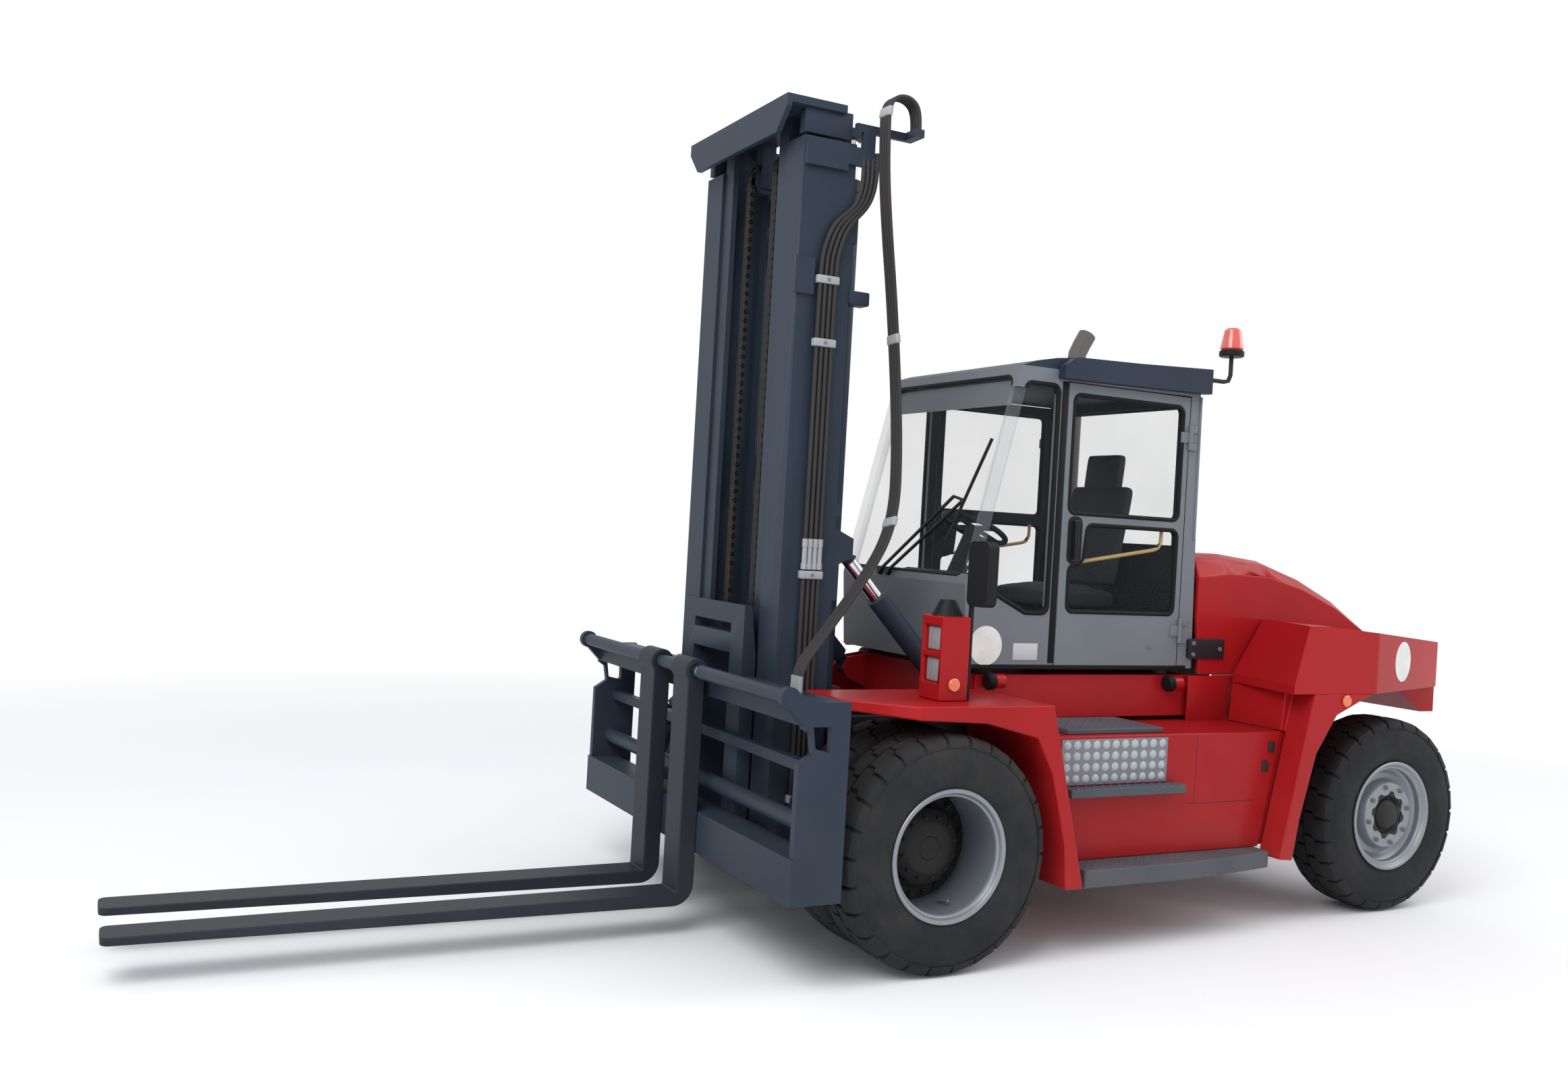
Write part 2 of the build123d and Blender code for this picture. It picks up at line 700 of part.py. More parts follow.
# Steer axle: a beam notched under the tail beam, with forked ends that hold the kingpins
YOKE_LOW = TYRE_R - KNUCKLE_HEIGHT / 2 - YOKE_GAP - YOKE_PLATE
YOKE_HIGH = TYRE_R + KNUCKLE_HEIGHT / 2 + YOKE_GAP
YOKE_TOP = YOKE_HIGH + YOKE_PLATE
with BuildPart() as steer_axle:
    steer_y = (REAR_AXLE_Y - STEER_BEAM_DEPTH / 2, REAR_AXLE_Y + STEER_BEAM_DEPTH / 2)
    block((-STEER_BEAM_HALF, STEER_BEAM_HALF), steer_y, (YOKE_LOW, YOKE_TOP))
    block((-TAIL_HALF, TAIL_HALF), steer_y, (TAIL_LOW, YOKE_TOP), mode=Mode.SUBTRACT)
    for sign in (1, -1):
        for low in (YOKE_LOW, YOKE_HIGH):
            arm_x = sorted((sign * (STEER_BEAM_HALF - YOKE_OVERLAP), sign * KINGPIN_X))
            block(arm_x, (REAR_AXLE_Y - YOKE_R, REAR_AXLE_Y + YOKE_R), (low, low + YOKE_PLATE))
            upright_rod(sign * KINGPIN_X, REAR_AXLE_Y, (low, low + YOKE_PLATE), YOKE_R)
        upright_rod(sign * KINGPIN_X, REAR_AXLE_Y, (YOKE_LOW, YOKE_TOP), KINGPIN_R)
save(steer_axle, "steer_axle")

# Knuckles: a barrel on each kingpin with the wheel spindle
for side, sign in (("left", 1), ("right", -1)):
    with BuildPart() as knuckle:
        knuckle_z = (TYRE_R - KNUCKLE_HEIGHT / 2, TYRE_R + KNUCKLE_HEIGHT / 2)
        stub_root = sign * (KINGPIN_X + KINGPIN_R)
        upright_rod(sign * KINGPIN_X, REAR_AXLE_Y, knuckle_z, KNUCKLE_R)
        spindle_x = sorted((stub_root, sign * (REAR_HUB_END - REAR_CAP_WALL - HUB_END_GAP)))
        cross_rod(spindle_x, REAR_AXLE_Y, TYRE_R, STEER_SPINDLE_R)
        cross_rod(sorted((stub_root, sign * (REAR_DISC_X - STUB_GAP))), REAR_AXLE_Y, TYRE_R, STUB_R)
        upright_rod(sign * KINGPIN_X, REAR_AXLE_Y, knuckle_z, KINGPIN_R + SHAFT_GAP, mode=Mode.SUBTRACT)
    save(knuckle, f"knuckle_{side}")

# Frame: two side rails, cross plates, the tail beam and the cheeks of the mast pivot
PIVOT_EDGE = PIVOT_LUG_WIDTH / 2 + PIVOT_SIDE_GAP
with BuildPart() as frame:
    for sign in (1, -1):
        rail_x = sorted((sign * RAIL_IN, sign * RAIL_OUT))
        side_plate([(RAIL_FRONT, RAIL_AXLE_CLEAR), (RAIL_RISE[0], RAIL_AXLE_CLEAR), (RAIL_RISE[1], RAIL_LOW),
                    (RAIL_FALL[0], RAIL_LOW), (RAIL_FALL[1], RAIL_AXLE_CLEAR), (RAIL_REAR, RAIL_AXLE_CLEAR),
                    (RAIL_REAR, RAIL_TOP), (RAIL_FRONT, RAIL_TOP)], rail_x)
        for edge in (PIVOT_LUG_X - PIVOT_EDGE - PIVOT_CHEEK, PIVOT_LUG_X + PIVOT_EDGE):
            cheek_x = sorted((sign * edge, sign * (edge + PIVOT_CHEEK)))
            side_plate([(RAIL_FRONT, CHEEK_TOP), (PIVOT_Y - CHEEK_EDGE, PIVOT_Z + CHEEK_EDGE),
                        (PIVOT_Y - CHEEK_EDGE, PIVOT_Z - CHEEK_EDGE),
                        (PIVOT_Y + CHEEK_EDGE, PIVOT_Z - CHEEK_EDGE),
                        (PIVOT_Y + PIVOT_LUG_R, PIVOT_Z + PIVOT_LUG_R), (RAIL_FRONT, RAIL_AXLE_CLEAR),
                        (CHEEK_REAR, RAIL_AXLE_CLEAR), (CHEEK_REAR, CHEEK_TOP)], cheek_x)
        web_x = sorted((sign * RAIL_OUT, sign * (PIVOT_LUG_X + PIVOT_EDGE)))
        block(web_x, (CHEEK_REAR - CHEEK_WEB, CHEEK_REAR), (RAIL_AXLE_CLEAR, CHEEK_TOP))
        pin_edge = PIVOT_EDGE + PIVOT_CHEEK
        pin_x = sorted((sign * (PIVOT_LUG_X - pin_edge), sign * (PIVOT_LUG_X + pin_edge)))
        cross_rod(pin_x, PIVOT_Y, PIVOT_Z, PIVOT_PIN_R)
    for station in CROSS_STATIONS:
        block((-RAIL_IN, RAIL_IN), (station, station + CROSS_PLATE), (RAIL_LOW, RAIL_TOP))
    block((-RAIL_OUT, RAIL_OUT), (RAIL_REAR, RAIL_REAR + CROSS_PLATE), (RAIL_AXLE_CLEAR, RAIL_TOP))
    block((-TAIL_HALF, TAIL_HALF), (RAIL_REAR, TAIL_REAR), (TAIL_LOW, RAIL_TOP))
save(frame, "frame")

# Engine: a crankcase and a narrower top on four feet between the rails
with BuildPart() as engine:
    block((-ENGINE_HALF, ENGINE_HALF), (ENGINE_FRONT, ENGINE_REAR), (ENGINE_LOW, ENGINE_DECK))
    block((-ENGINE_HALF, ENGINE_HALF), (ENGINE_HEAD, ENGINE_REAR), (ENGINE_DECK, ENGINE_TOP))
    for station in (ENGINE_FRONT + ENGINE_FOOT, ENGINE_REAR - 2 * ENGINE_FOOT):
        block((-RAIL_IN, RAIL_IN), (station, station + ENGINE_FOOT), ENGINE_FOOT_Z)
save(engine, "engine")

# Deck: the red platform under the cab, with the tilt cylinders' anchor cheeks
TILT_EDGE = TILT_EYE_WIDTH / 2 + TILT_SIDE_GAP
with BuildPart() as deck:
    block((-DECK_HALF, DECK_HALF), (DECK_FRONT, DECK_REAR), (RAIL_TOP, DECK_TOP))
    block((-DECK_HALF + DECK_PLATE, DECK_HALF - DECK_PLATE), (DECK_FRONT + DECK_PLATE, DECK_REAR),
          (RAIL_TOP, DECK_TOP - DECK_PLATE), mode=Mode.SUBTRACT)
    for sign in (1, -1):
        flange_x = sorted((sign * RAIL_IN, sign * DECK_HALF))
        block(flange_x, (DECK_FRONT, DECK_REAR), (RAIL_TOP, RAIL_TOP + DECK_FLANGE))
        for edge in (TILT_X - TILT_EDGE - TILT_LUG, TILT_X + TILT_EDGE):
            lug_x = sorted((sign * edge, sign * (edge + TILT_LUG)))
            side_plate([(DECK_FRONT, DECK_TOP), (TILT_ANCHOR[0] - TILT_PIN_R, TILT_ANCHOR[1] + TILT_CHEEK_R),
                        (TILT_ANCHOR[0] - TILT_CHEEK_R, TILT_ANCHOR[1]),
                        (TILT_ANCHOR[0] - TILT_PIN_R, TILT_ANCHOR[1] - TILT_CHEEK_R),
                        (DECK_FRONT, RAIL_TOP + DECK_FLANGE)], lug_x)
        pin_edge = TILT_EDGE + TILT_LUG
        pin_x = sorted((sign * (TILT_X - pin_edge), sign * (TILT_X + pin_edge)))
        cross_rod(pin_x, TILT_ANCHOR[0], TILT_ANCHOR[1], TILT_PIN_R)
save(deck, "deck")

# Cab mounts: rubber blocks between deck and cab floor
with BuildPart() as cab_mounts:
    for x in (-MOUNT_X, MOUNT_X):
        for y in MOUNT_STATIONS:
            upright_rod(x, y, (DECK_TOP, CAB_FLOOR), MOUNT_R)
save(cab_mounts, "cab_mounts")


# Cab frame: a hollow box with a raked windscreen, split from its doors and roof
def screen_y(z):
    """Y of the windscreen's outer plane at a height."""
    share = (z - CAB_SILL_Z) / (CAB_TOP - CAB_SILL_Z)
    return CAB_FRONT_SILL + share * (CAB_FRONT_TOP - CAB_FRONT_SILL)


def cab_outline(wall):
    return [
        (CAB_FRONT_LOW + wall, CAB_FLOOR + wall),
        (CAB_FRONT_SILL + wall, CAB_SILL_Z),
        (CAB_FRONT_TOP + wall * SCREEN_UPRIGHT, CAB_TOP - wall),
        (CAB_REAR_TOP - wall, CAB_TOP - wall),
        (CAB_REAR_LOW - wall, CAB_FLOOR + wall),
    ]


SCREEN_RUN = math.hypot(CAB_FRONT_TOP - CAB_FRONT_SILL, CAB_TOP - CAB_SILL_Z)
SCREEN_UPRIGHT = (CAB_TOP - CAB_SILL_Z) / SCREEN_RUN
SCREEN_LEAN = (CAB_FRONT_TOP - CAB_FRONT_SILL) / SCREEN_RUN
SCREEN_MIDDLE = (SCREEN_LOW + SCREEN_HIGH) / 2
SCREEN_LENGTH = (SCREEN_HIGH - SCREEN_LOW) / SCREEN_UPRIGHT
SCREEN = Plane(origin=(0, screen_y(SCREEN_MIDDLE), SCREEN_MIDDLE), x_dir=(1, 0, 0),
               z_dir=(0, -SCREEN_UPRIGHT, SCREEN_LEAN))
REAR_WINDOW = Plane(origin=(0, CAB_REAR_TOP, sum(REAR_WINDOW_Z) / 2), x_dir=(-1, 0, 0), z_dir=(0, 1, 0))
REAR_WINDOW_HEIGHT = REAR_WINDOW_Z[1] - REAR_WINDOW_Z[0]
with BuildPart() as cab_frame:
    side_plate(cab_outline(0), (-CAB_HALF, CAB_HALF))
    side_plate(cab_outline(CAB_WALL), (-CAB_HALF + CAB_WALL, CAB_HALF - CAB_WALL), mode=Mode.SUBTRACT)
    with BuildSketch(SCREEN):
        RectangleRounded(2 * SCREEN_HALF, SCREEN_LENGTH, SCREEN_CORNER)
    extrude(amount=SCREEN_DEPTH, both=True, mode=Mode.SUBTRACT)
    side_plate(QUARTER_WINDOW, (-CAB_HALF, CAB_HALF), mode=Mode.SUBTRACT, corner=WINDOW_CORNER)
    for sign in (1, -1):
        wall_x = sorted((sign * (CAB_HALF - CAB_WALL), sign * CAB_HALF))
        block(wall_x, (DOOR_FRONT - DOOR_GAP, DOOR_REAR + DOOR_GAP), (CAB_FLOOR, DOOR_TOP + DOOR_GAP),
              mode=Mode.SUBTRACT)
    with BuildSketch(REAR_WINDOW):
        RectangleRounded(2 * REAR_WINDOW_HALF, REAR_WINDOW_HEIGHT, WINDOW_CORNER)
    extrude(amount=SCREEN_DEPTH, both=True, mode=Mode.SUBTRACT)
    for sign in (1, -1):
        leaf_x = sorted((sign * CAB_HALF, sign * (CAB_HALF + HINGE_LEAF)))
        for low in HINGE_HEIGHTS:
            high = low + HINGE_LENGTH
            for knuckle_z in ((low - HINGE_KNUCKLE, low - SEAT_GAP), (high + SEAT_GAP, high + HINGE_KNUCKLE)):
                upright_rod(sign * HINGE_X, HINGE_Y, knuckle_z, HINGE_R)
                block(leaf_x, (HINGE_Y, HINGE_Y + HINGE_LEAF_LENGTH), knuckle_z)
            upright_rod(sign * HINGE_X, HINGE_Y, (low - HINGE_KNUCKLE, high + HINGE_KNUCKLE), HINGE_PIN_R)
save(cab_frame, "cab_frame")

# Glass: windscreen, quarter windows and rear window
GLASS_X = (CAB_HALF - GLASS_INSET, CAB_HALF - GLASS_INSET + GLASS)
with BuildPart() as cab_glass:
    with BuildSketch(SCREEN.offset(-SCREEN_INSET)):
        RectangleRounded(2 * (SCREEN_HALF - SEAT_GAP), SCREEN_LENGTH - 2 * SEAT_GAP, SCREEN_CORNER - SEAT_GAP)
    extrude(amount=-GLASS)
    for sign in (1, -1):
        side_plate(QUARTER_WINDOW, sorted(sign * x for x in GLASS_X), gap=SEAT_GAP, corner=WINDOW_CORNER)
    with BuildSketch(REAR_WINDOW.offset(-SCREEN_INSET)):
        RectangleRounded(2 * (REAR_WINDOW_HALF - SEAT_GAP), REAR_WINDOW_HEIGHT - 2 * SEAT_GAP,
                         WINDOW_CORNER - SEAT_GAP)
    extrude(amount=GLASS)
save(cab_glass, "cab_glass")

# Roof: a low crowned cap with a visor band over the doors
VISOR_NOSE = CAB_TOP + 20
VISOR_BROW = CAB_TOP + 60
with BuildPart() as cab_roof:
    side_plate([(CAB_FRONT_TOP + run, CAB_TOP + rise) for run, rise in ROOF_CROWN]
               + [(VISOR_REAR, ROOF_TOP), (VISOR_REAR, CAB_TOP)], (-CAB_HALF, CAB_HALF))
    for sign in (1, -1):
        band_x = sorted((sign * (CAB_HALF + VISOR_GAP), sign * VISOR_X))
        side_plate([(VISOR_FRONT, VISOR_LOW), (VISOR_REAR, VISOR_LOW + GLASS_INSET), (VISOR_REAR, ROOF_TOP),
                    (VISOR_FRONT + HINGE_LENGTH, VISOR_BROW), (VISOR_FRONT, VISOR_NOSE)], band_x)
        bridge_x = sorted((sign * (CAB_HALF - VISOR_GAP), sign * (CAB_HALF + VISOR_GAP)))
        block(bridge_x, (VISOR_FRONT + HINGE_LENGTH, VISOR_REAR), (CAB_TOP, VISOR_BROW))
save(cab_roof, "cab_roof")

# Doors: as thick as the cab wall, with an upper and a lower window, hinged at their rear edge
DOOR_X = (CAB_HALF - CAB_WALL + DOOR_INSET, CAB_HALF + DOOR_PROUD)
GRAB_X = DOOR_X[0] + GRAB_R + DOOR_PROUD
for side, sign in (("left", 1), ("right", -1)):
    door_x = sorted(sign * x for x in DOOR_X)
    leaf_x = sorted((sign * DOOR_X[1], sign * (DOOR_X[1] + HINGE_LEAF)))
    with BuildPart() as door:
        block(door_x, (DOOR_FRONT, DOOR_REAR), (CAB_FLOOR, DOOR_TOP))
        for window in DOOR_WINDOWS:
            side_plate(window, door_x, mode=Mode.SUBTRACT, corner=WINDOW_CORNER)
        block(sorted((sign * DOOR_X[1], sign * (DOOR_X[1] + HANDLE_DEPTH))), HANDLE_Y, HANDLE_Z)
        rail = [Vector(sign * GRAB_X, y, z) for y, z in GRAB_RAIL]
        with BuildLine():
            FilletPolyline(*rail, radius=GRAB_BEND)
        with BuildSketch(Plane(origin=rail[0], z_dir=rail[1] - rail[0])):
            Circle(GRAB_R)
        sweep()
        for low in HINGE_HEIGHTS:
            high = low + HINGE_LENGTH
            upright_rod(sign * HINGE_X, HINGE_Y, (low, high), HINGE_R)
            block(leaf_x, (DOOR_REAR - HINGE_LEAF_LENGTH, HINGE_Y), (low, high))
            upright_rod(sign * HINGE_X, HINGE_Y, (low, high), HINGE_PIN_R + SHAFT_GAP, mode=Mode.SUBTRACT)
    save(door, f"door_{side}")
    with BuildPart() as door_glass:
        for window in DOOR_WINDOWS:
            side_plate(window, sorted(sign * x for x in GLASS_X), gap=SEAT_GAP, corner=WINDOW_CORNER)
    save(door_glass, f"door_{side}_glass")

# Seat: plinth, cushion, back and headrest
with BuildPart() as seat:
    seat_floor = CAB_FLOOR + CAB_WALL
    cushion = seat_floor + SEAT_PLINTH
    back_low = cushion + SEAT_CUSHION
    back_top = back_low + SEAT_BACK
    block((-SEAT_PLINTH_HALF, SEAT_PLINTH_HALF), SEAT_PLINTH_Y, (seat_floor, cushion))
    block((-SEAT_HALF, SEAT_HALF), SEAT_Y, (cushion, back_low))
    side_plate([(SEAT_Y[1] - SEAT_BACK_DEPTH, back_low), (SEAT_Y[1] + SEAT_BACK_LEAN / 4, back_low),
                (SEAT_Y[1] + SEAT_BACK_LEAN, back_top),
                (SEAT_Y[1] + SEAT_BACK_LEAN - SEAT_BACK_DEPTH, back_top)],
               (-SEAT_HALF, SEAT_HALF))
    side_plate([(SEAT_Y[1] + SEAT_BACK_LEAN - SEAT_BACK_DEPTH, back_top),
                (SEAT_Y[1] + SEAT_BACK_LEAN, back_top),
                (SEAT_Y[1] + SEAT_BACK_LEAN, back_top + SEAT_HEADREST),
                (SEAT_Y[1] + SEAT_BACK_LEAN - SEAT_BACK_DEPTH / 2, back_top + SEAT_HEADREST)],
               (-SEAT_HEADREST_HALF, SEAT_HEADREST_HALF))
save(seat, "seat")

# Console: dash pedestal, steering column and wheel
with BuildPart() as console:
    dash_floor = CAB_FLOOR + CAB_WALL
    side_plate([(DASH_Y[0], dash_floor), (DASH_Y[2], dash_floor), (DASH_Y[2], DASH_SHELF),
                (DASH_Y[1], DASH_TOP),
                (DASH_Y[0], DASH_SHELF)], (-DASH_HALF, DASH_HALF))
    slant_rod(COLUMN_TOP, COLUMN_DIR, (-COLUMN_LENGTH, 0), 0, COLUMN_R)
    wheel_plane = Plane(origin=(0, COLUMN_TOP[0], COLUMN_TOP[1]), x_dir=(1, 0, 0),
                        z_dir=(0, COLUMN_DIR[0], COLUMN_DIR[1]))
    with Locations(wheel_plane):
        Torus(STEERING_R, STEERING_RIM_R)
        Box(2 * STEERING_R, STEERING_SPOKE, STEERING_RIM_R)
        Box(STEERING_SPOKE, 2 * STEERING_R, STEERING_RIM_R)
save(console, "console")


# Hood: a shell over the engine with rounded shoulders, which swings up about its rear edge
def hood_section(share, top, wall):
    """The cross-section at a share of the hood's length, drawn in by a wall."""
    drop = HOOD_SHOULDER + share * (HOOD_TAIL_SHOULDER - HOOD_SHOULDER)
    rise = max(0, (share - HOOD_LOW_SHARE) / (1 - HOOD_LOW_SHARE))
    low = HOOD_LOW + rise * (HOOD_TAIL_LOW - HOOD_LOW) - 2 * wall
    right = [(HOOD_HALF - wall, low)]
    right += [(HOOD_HALF - inward - wall, top - drop * fall - wall) for inward, fall in HOOD_SHOULDERS]
    return right + [(-x, z) for x, z in reversed(right)]


def hood_form(wall, ends, mode):
    """A ruled body through the hood's sections, its ends moved out by two distances."""
    sections = []
    for share, top in HOOD_CREST:
        y = HOOD_FRONT + share * (HOOD_REAR - HOOD_FRONT)
        y += -ends[0] if share == 0 else ends[1] if share == 1 else 0
        plane = Plane(origin=(0, y, 0), x_dir=(1, 0, 0), z_dir=(0, -1, 0))
        with BuildSketch(plane, mode=Mode.PRIVATE) as section:
            with BuildLine():
                Polyline(*hood_section(share, top, wall), close=True)
            make_face()
        sections.append(section.sketch)
    loft(sections, ruled=True, mode=mode)


with BuildPart() as hood:
    hood_form(0, (0, 0), Mode.ADD)
    hood_form(HOOD_WALL, (HOOD_WALL, -HOOD_WALL), Mode.SUBTRACT)
    side_plate([(HOOD_FRONT, HOOD_LOW), (HOOD_FRONT + HOOD_RAKE, HOOD_LOW), (HOOD_FRONT, HOOD_RAKE_TOP)],
               (-HOOD_HALF, HOOD_HALF), mode=Mode.SUBTRACT)
save(hood, "hood")

# Counterweight: a U of cast iron round the engine bay, raked in front and chamfered at the rear
with BuildPart() as counterweight:
    with BuildSketch(Plane.XY.offset(CW_LOW)) as plan:
        with BuildLine():
            Polyline((BAY_HALF, HORN_ROOT), (CW_HALF, HORN_TIP), (CW_HALF, CW_FLANK_REAR),
                     (CW_TAIL_HALF + CW_BEVEL, CW_REAR - CW_BEVEL), (CW_TAIL_HALF, CW_REAR), (0, CW_REAR),
                     (0, BAY_REAR), (BAY_HALF, BAY_REAR), close=True)
        make_face()
        fillet(plan.vertices().filter_by(lambda v: v.X > CW_TAIL_HALF and v.Y > HORN_ROOT), CW_CORNER_R)
        mirror(about=Plane.YZ)
    extrude(amount=CW_TOP - CW_LOW)
    for sign in (1, -1):
        ahead = HORN_TIP - CW_BEVEL
        for x, tip, rake in ((BAY_HALF, HORN_ROOT, HORN_RAKE_IN), (CW_HALF, HORN_TIP, HORN_RAKE_OUT)):
            with BuildSketch(Plane.YZ.offset(sign * x)):
                with BuildLine():
                    Polyline((ahead, HORN_STEP), (tip, HORN_STEP), (tip + rake, CW_TOP), (ahead, CW_TOP),
                             close=True)
                make_face()
        loft(ruled=True, mode=Mode.SUBTRACT)
    side_plate([(CW_FALL_START, CW_TOP), (CW_REAR, CW_REAR_TOP), (CW_REAR, CW_TOP)], (-CW_HALF, CW_HALF),
               mode=Mode.SUBTRACT)
    side_plate([(BAY_REAR, CW_LOW), (CW_REAR - CW_BELLY_RAKE, CW_BELLY), (CW_REAR, CW_BELLY),
                (CW_REAR, CW_LOW)],
               (-CW_TAIL_HALF, CW_TAIL_HALF))
    block((-TAIL_HALF, TAIL_HALF), (BAY_REAR, BAY_REAR + CW_SADDLE), (RAIL_TOP, CW_LOW))
    block((-2 * TOW_NOTCH[0], 2 * TOW_NOTCH[0]), (CW_REAR - 2 * TOW_SET, CW_REAR), TOW_JAW,
          mode=Mode.SUBTRACT)
    block((-TOW_NOTCH[0], TOW_NOTCH[0]), (CW_REAR - TOW_NOTCH[1], CW_REAR), (TOW_HIGH, CW_TOP),
          mode=Mode.SUBTRACT)
    upright_rod(0, CW_REAR - TOW_SET, (CW_BELLY, TOW_HIGH), TOW_R, mode=Mode.SUBTRACT)
    for sign in (1, -1):
        block(sorted(sign * x for x in GRILLE_X), (CW_REAR - GRILLE_DEPTH, CW_REAR), GRILLE_Z,
              mode=Mode.SUBTRACT)
        block(sorted(sign * x for x in TAIL_LAMP_X), (CW_REAR - TAIL_LAMP_DEPTH, CW_REAR), TAIL_LAMP_Z,
              mode=Mode.SUBTRACT)
        block(sorted(sign * x for x in HINGE_TAB_X), (HOOD_REAR + SEAT_GAP, BAY_REAR + CW_BEVEL), HINGE_TAB_Z)
save(counterweight, "counterweight")

# Rear grille: slats in the counterweight's air outlet
with BuildPart() as rear_grille:
    pitch = (GRILLE_X[1] - GRILLE_X[0]) / GRILLE_BARS
    for sign in (1, -1):
        for bar in range(GRILLE_BARS):
            x = sign * (GRILLE_X[0] + (bar + 0.5) * pitch)
            block((x - GRILLE_BAR / 2, x + GRILLE_BAR / 2),
                  (CW_REAR - GRILLE_DEPTH, CW_REAR - GRILLE_DEPTH + GRILLE_BAR_DEPTH), GRILLE_Z)
        block(sorted(sign * x for x in GRILLE_X),
              (CW_REAR - GRILLE_DEPTH + GRILLE_BAR, CW_REAR - GRILLE_DEPTH + 2 * GRILLE_BAR), GRILLE_TIE)
save(rear_grille, "rear_grille")

# Front fenders: a flat top with a cut front corner and a raked rear leg
FENDER_FRONT = FENDER_ARCH[-1]
with BuildPart() as front_fenders:
    for sign in (1, -1):
        fender_x = sorted((sign * FENDER_IN, sign * FENDER_OUT))
        side_plate(aft_points([FENDER_LEG_TOP, FENDER_LEG_FOOT, *FENDER_ARCH,
                               (FENDER_FRONT[0], FENDER_FRONT[1] + FENDER_PLATE)]), fender_x)
        plan_plate([(sign * FENDER_OUT, aft(FENDER_FRONT[0] + FENDER_CUT[1])),
                    (sign * FENDER_OUT, aft(FENDER_FRONT[0])),
                    (sign * (FENDER_OUT - FENDER_CUT[0]), aft(FENDER_FRONT[0]))],
                   (FENDER_TOP - 3 * FENDER_PLATE, FENDER_TOP), mode=Mode.SUBTRACT)
save(front_fenders, "front_fenders")


# Side tanks: fuel and hydraulic oil, with the steps fixed to them
def leg_y(z):
    """Y of the front fender leg's rear face at a height."""
    share = (FENDER_LEG_TOP[1] - z) / (FENDER_LEG_TOP[1] - FENDER_LEG_FOOT[1])
    return aft(FENDER_LEG_TOP[0] + share * (FENDER_LEG_FOOT[0] - FENDER_LEG_TOP[0]))


with BuildPart() as side_tanks:
    for sign in (1, -1):
        tank_x = sorted((sign * TANK_IN, sign * TANK_OUT))
        side_plate([(leg_y(TANK_TOP), TANK_TOP), (TANK_REAR_TOP, TANK_TOP), (TANK_REAR_LOW, TANK_LOW),
                    (leg_y(TANK_LOW), TANK_LOW)], tank_x)
save(side_tanks, "side_tanks")

with BuildPart() as step_treads:
    for sign in (1, -1):
        block(sorted(sign * x for x in TOP_STEP_X), TOP_STEP_Y, (TANK_TOP, TANK_TOP + TOP_STEP))
        block(sorted((sign * TANK_OUT, sign * TREAD_X)), TREAD_Y, TREAD_Z)
        plan_plate([(sign * BOARD_IN, BOARD_Y[0]), (sign * BOARD_X, BOARD_Y[0]), (sign * BOARD_X, BOARD_Y[1]),
                    (sign * BOARD_TAIL_X, BOARD_Y[2]), (sign * BOARD_IN, BOARD_Y[2])], (BOARD_LOW, TANK_LOW))
save(step_treads, "step_treads")

with BuildPart() as tread_plates:
    for sign in (1, -1):
        block(sorted((sign * TANK_OUT, sign * (TANK_OUT + BUBBLE_PLATE))), BUBBLE_Y, BUBBLE_Z)
save(tread_plates, "tread_plates")

# Rear fenders: raked panels ahead of the steered wheels, under the counterweight's horns
with BuildPart() as rear_fenders:
    for sign in (1, -1):
        side_plate(aft_points(REAR_ARCH), sorted((sign * TANK_OUT, sign * REAR_FENDER_OUT)))
        side_plate([(REAR_PANEL[0], TANK_TOP), (REAR_PANEL[1], TANK_TOP), (REAR_PANEL[2], CW_LOW),
                    (REAR_PANEL[3], CW_LOW)], sorted((sign * BAY_HALF, sign * TANK_OUT)))
save(rear_fenders, "rear_fenders")

# Lamp posts on the fenders, open in front for two lamps each
with BuildPart() as lamp_posts:
    for sign in (1, -1):
        post_x = sorted(sign * x for x in POST_X)
        block(post_x, POST_Y, (FENDER_TOP, POST_TOP))
        for low in LAMP_HEIGHTS:
            block((post_x[0] + LAMP_FRAME, post_x[1] - LAMP_FRAME), (POST_Y[0], POST_Y[0] + LAMP_POCKET),
                  (low, low + LAMP_SIZE), mode=Mode.SUBTRACT)
save(lamp_posts, "lamp_posts")

with BuildPart() as lamp_lenses:
    for sign in (1, -1):
        post_x = sorted(sign * x for x in POST_X)
        for low in LAMP_HEIGHTS:
            block((post_x[0] + LAMP_FRAME + SEAT_GAP, post_x[1] - LAMP_FRAME - SEAT_GAP),
                  (POST_Y[0] + LAMP_RECESS, POST_Y[0] + LAMP_POCKET),
                  (low + SEAT_GAP, low + LAMP_SIZE - SEAT_GAP))
        cross_rod(sorted((sign * POST_X[1], sign * (POST_X[1] + MARKER_DEPTH))), *POST_MARKER, MARKER_R)
        cross_rod(sorted((sign * REAR_FENDER_OUT, sign * (REAR_FENDER_OUT + MARKER_DEPTH))), *REAR_MARKER,
                  MARKER_R)
        block(sorted(sign * x for x in TAIL_LAMP_X), (CW_REAR - TAIL_LAMP_DEPTH, CW_REAR), TAIL_LAMP_Z)
save(lamp_lenses, "lamp_lenses")

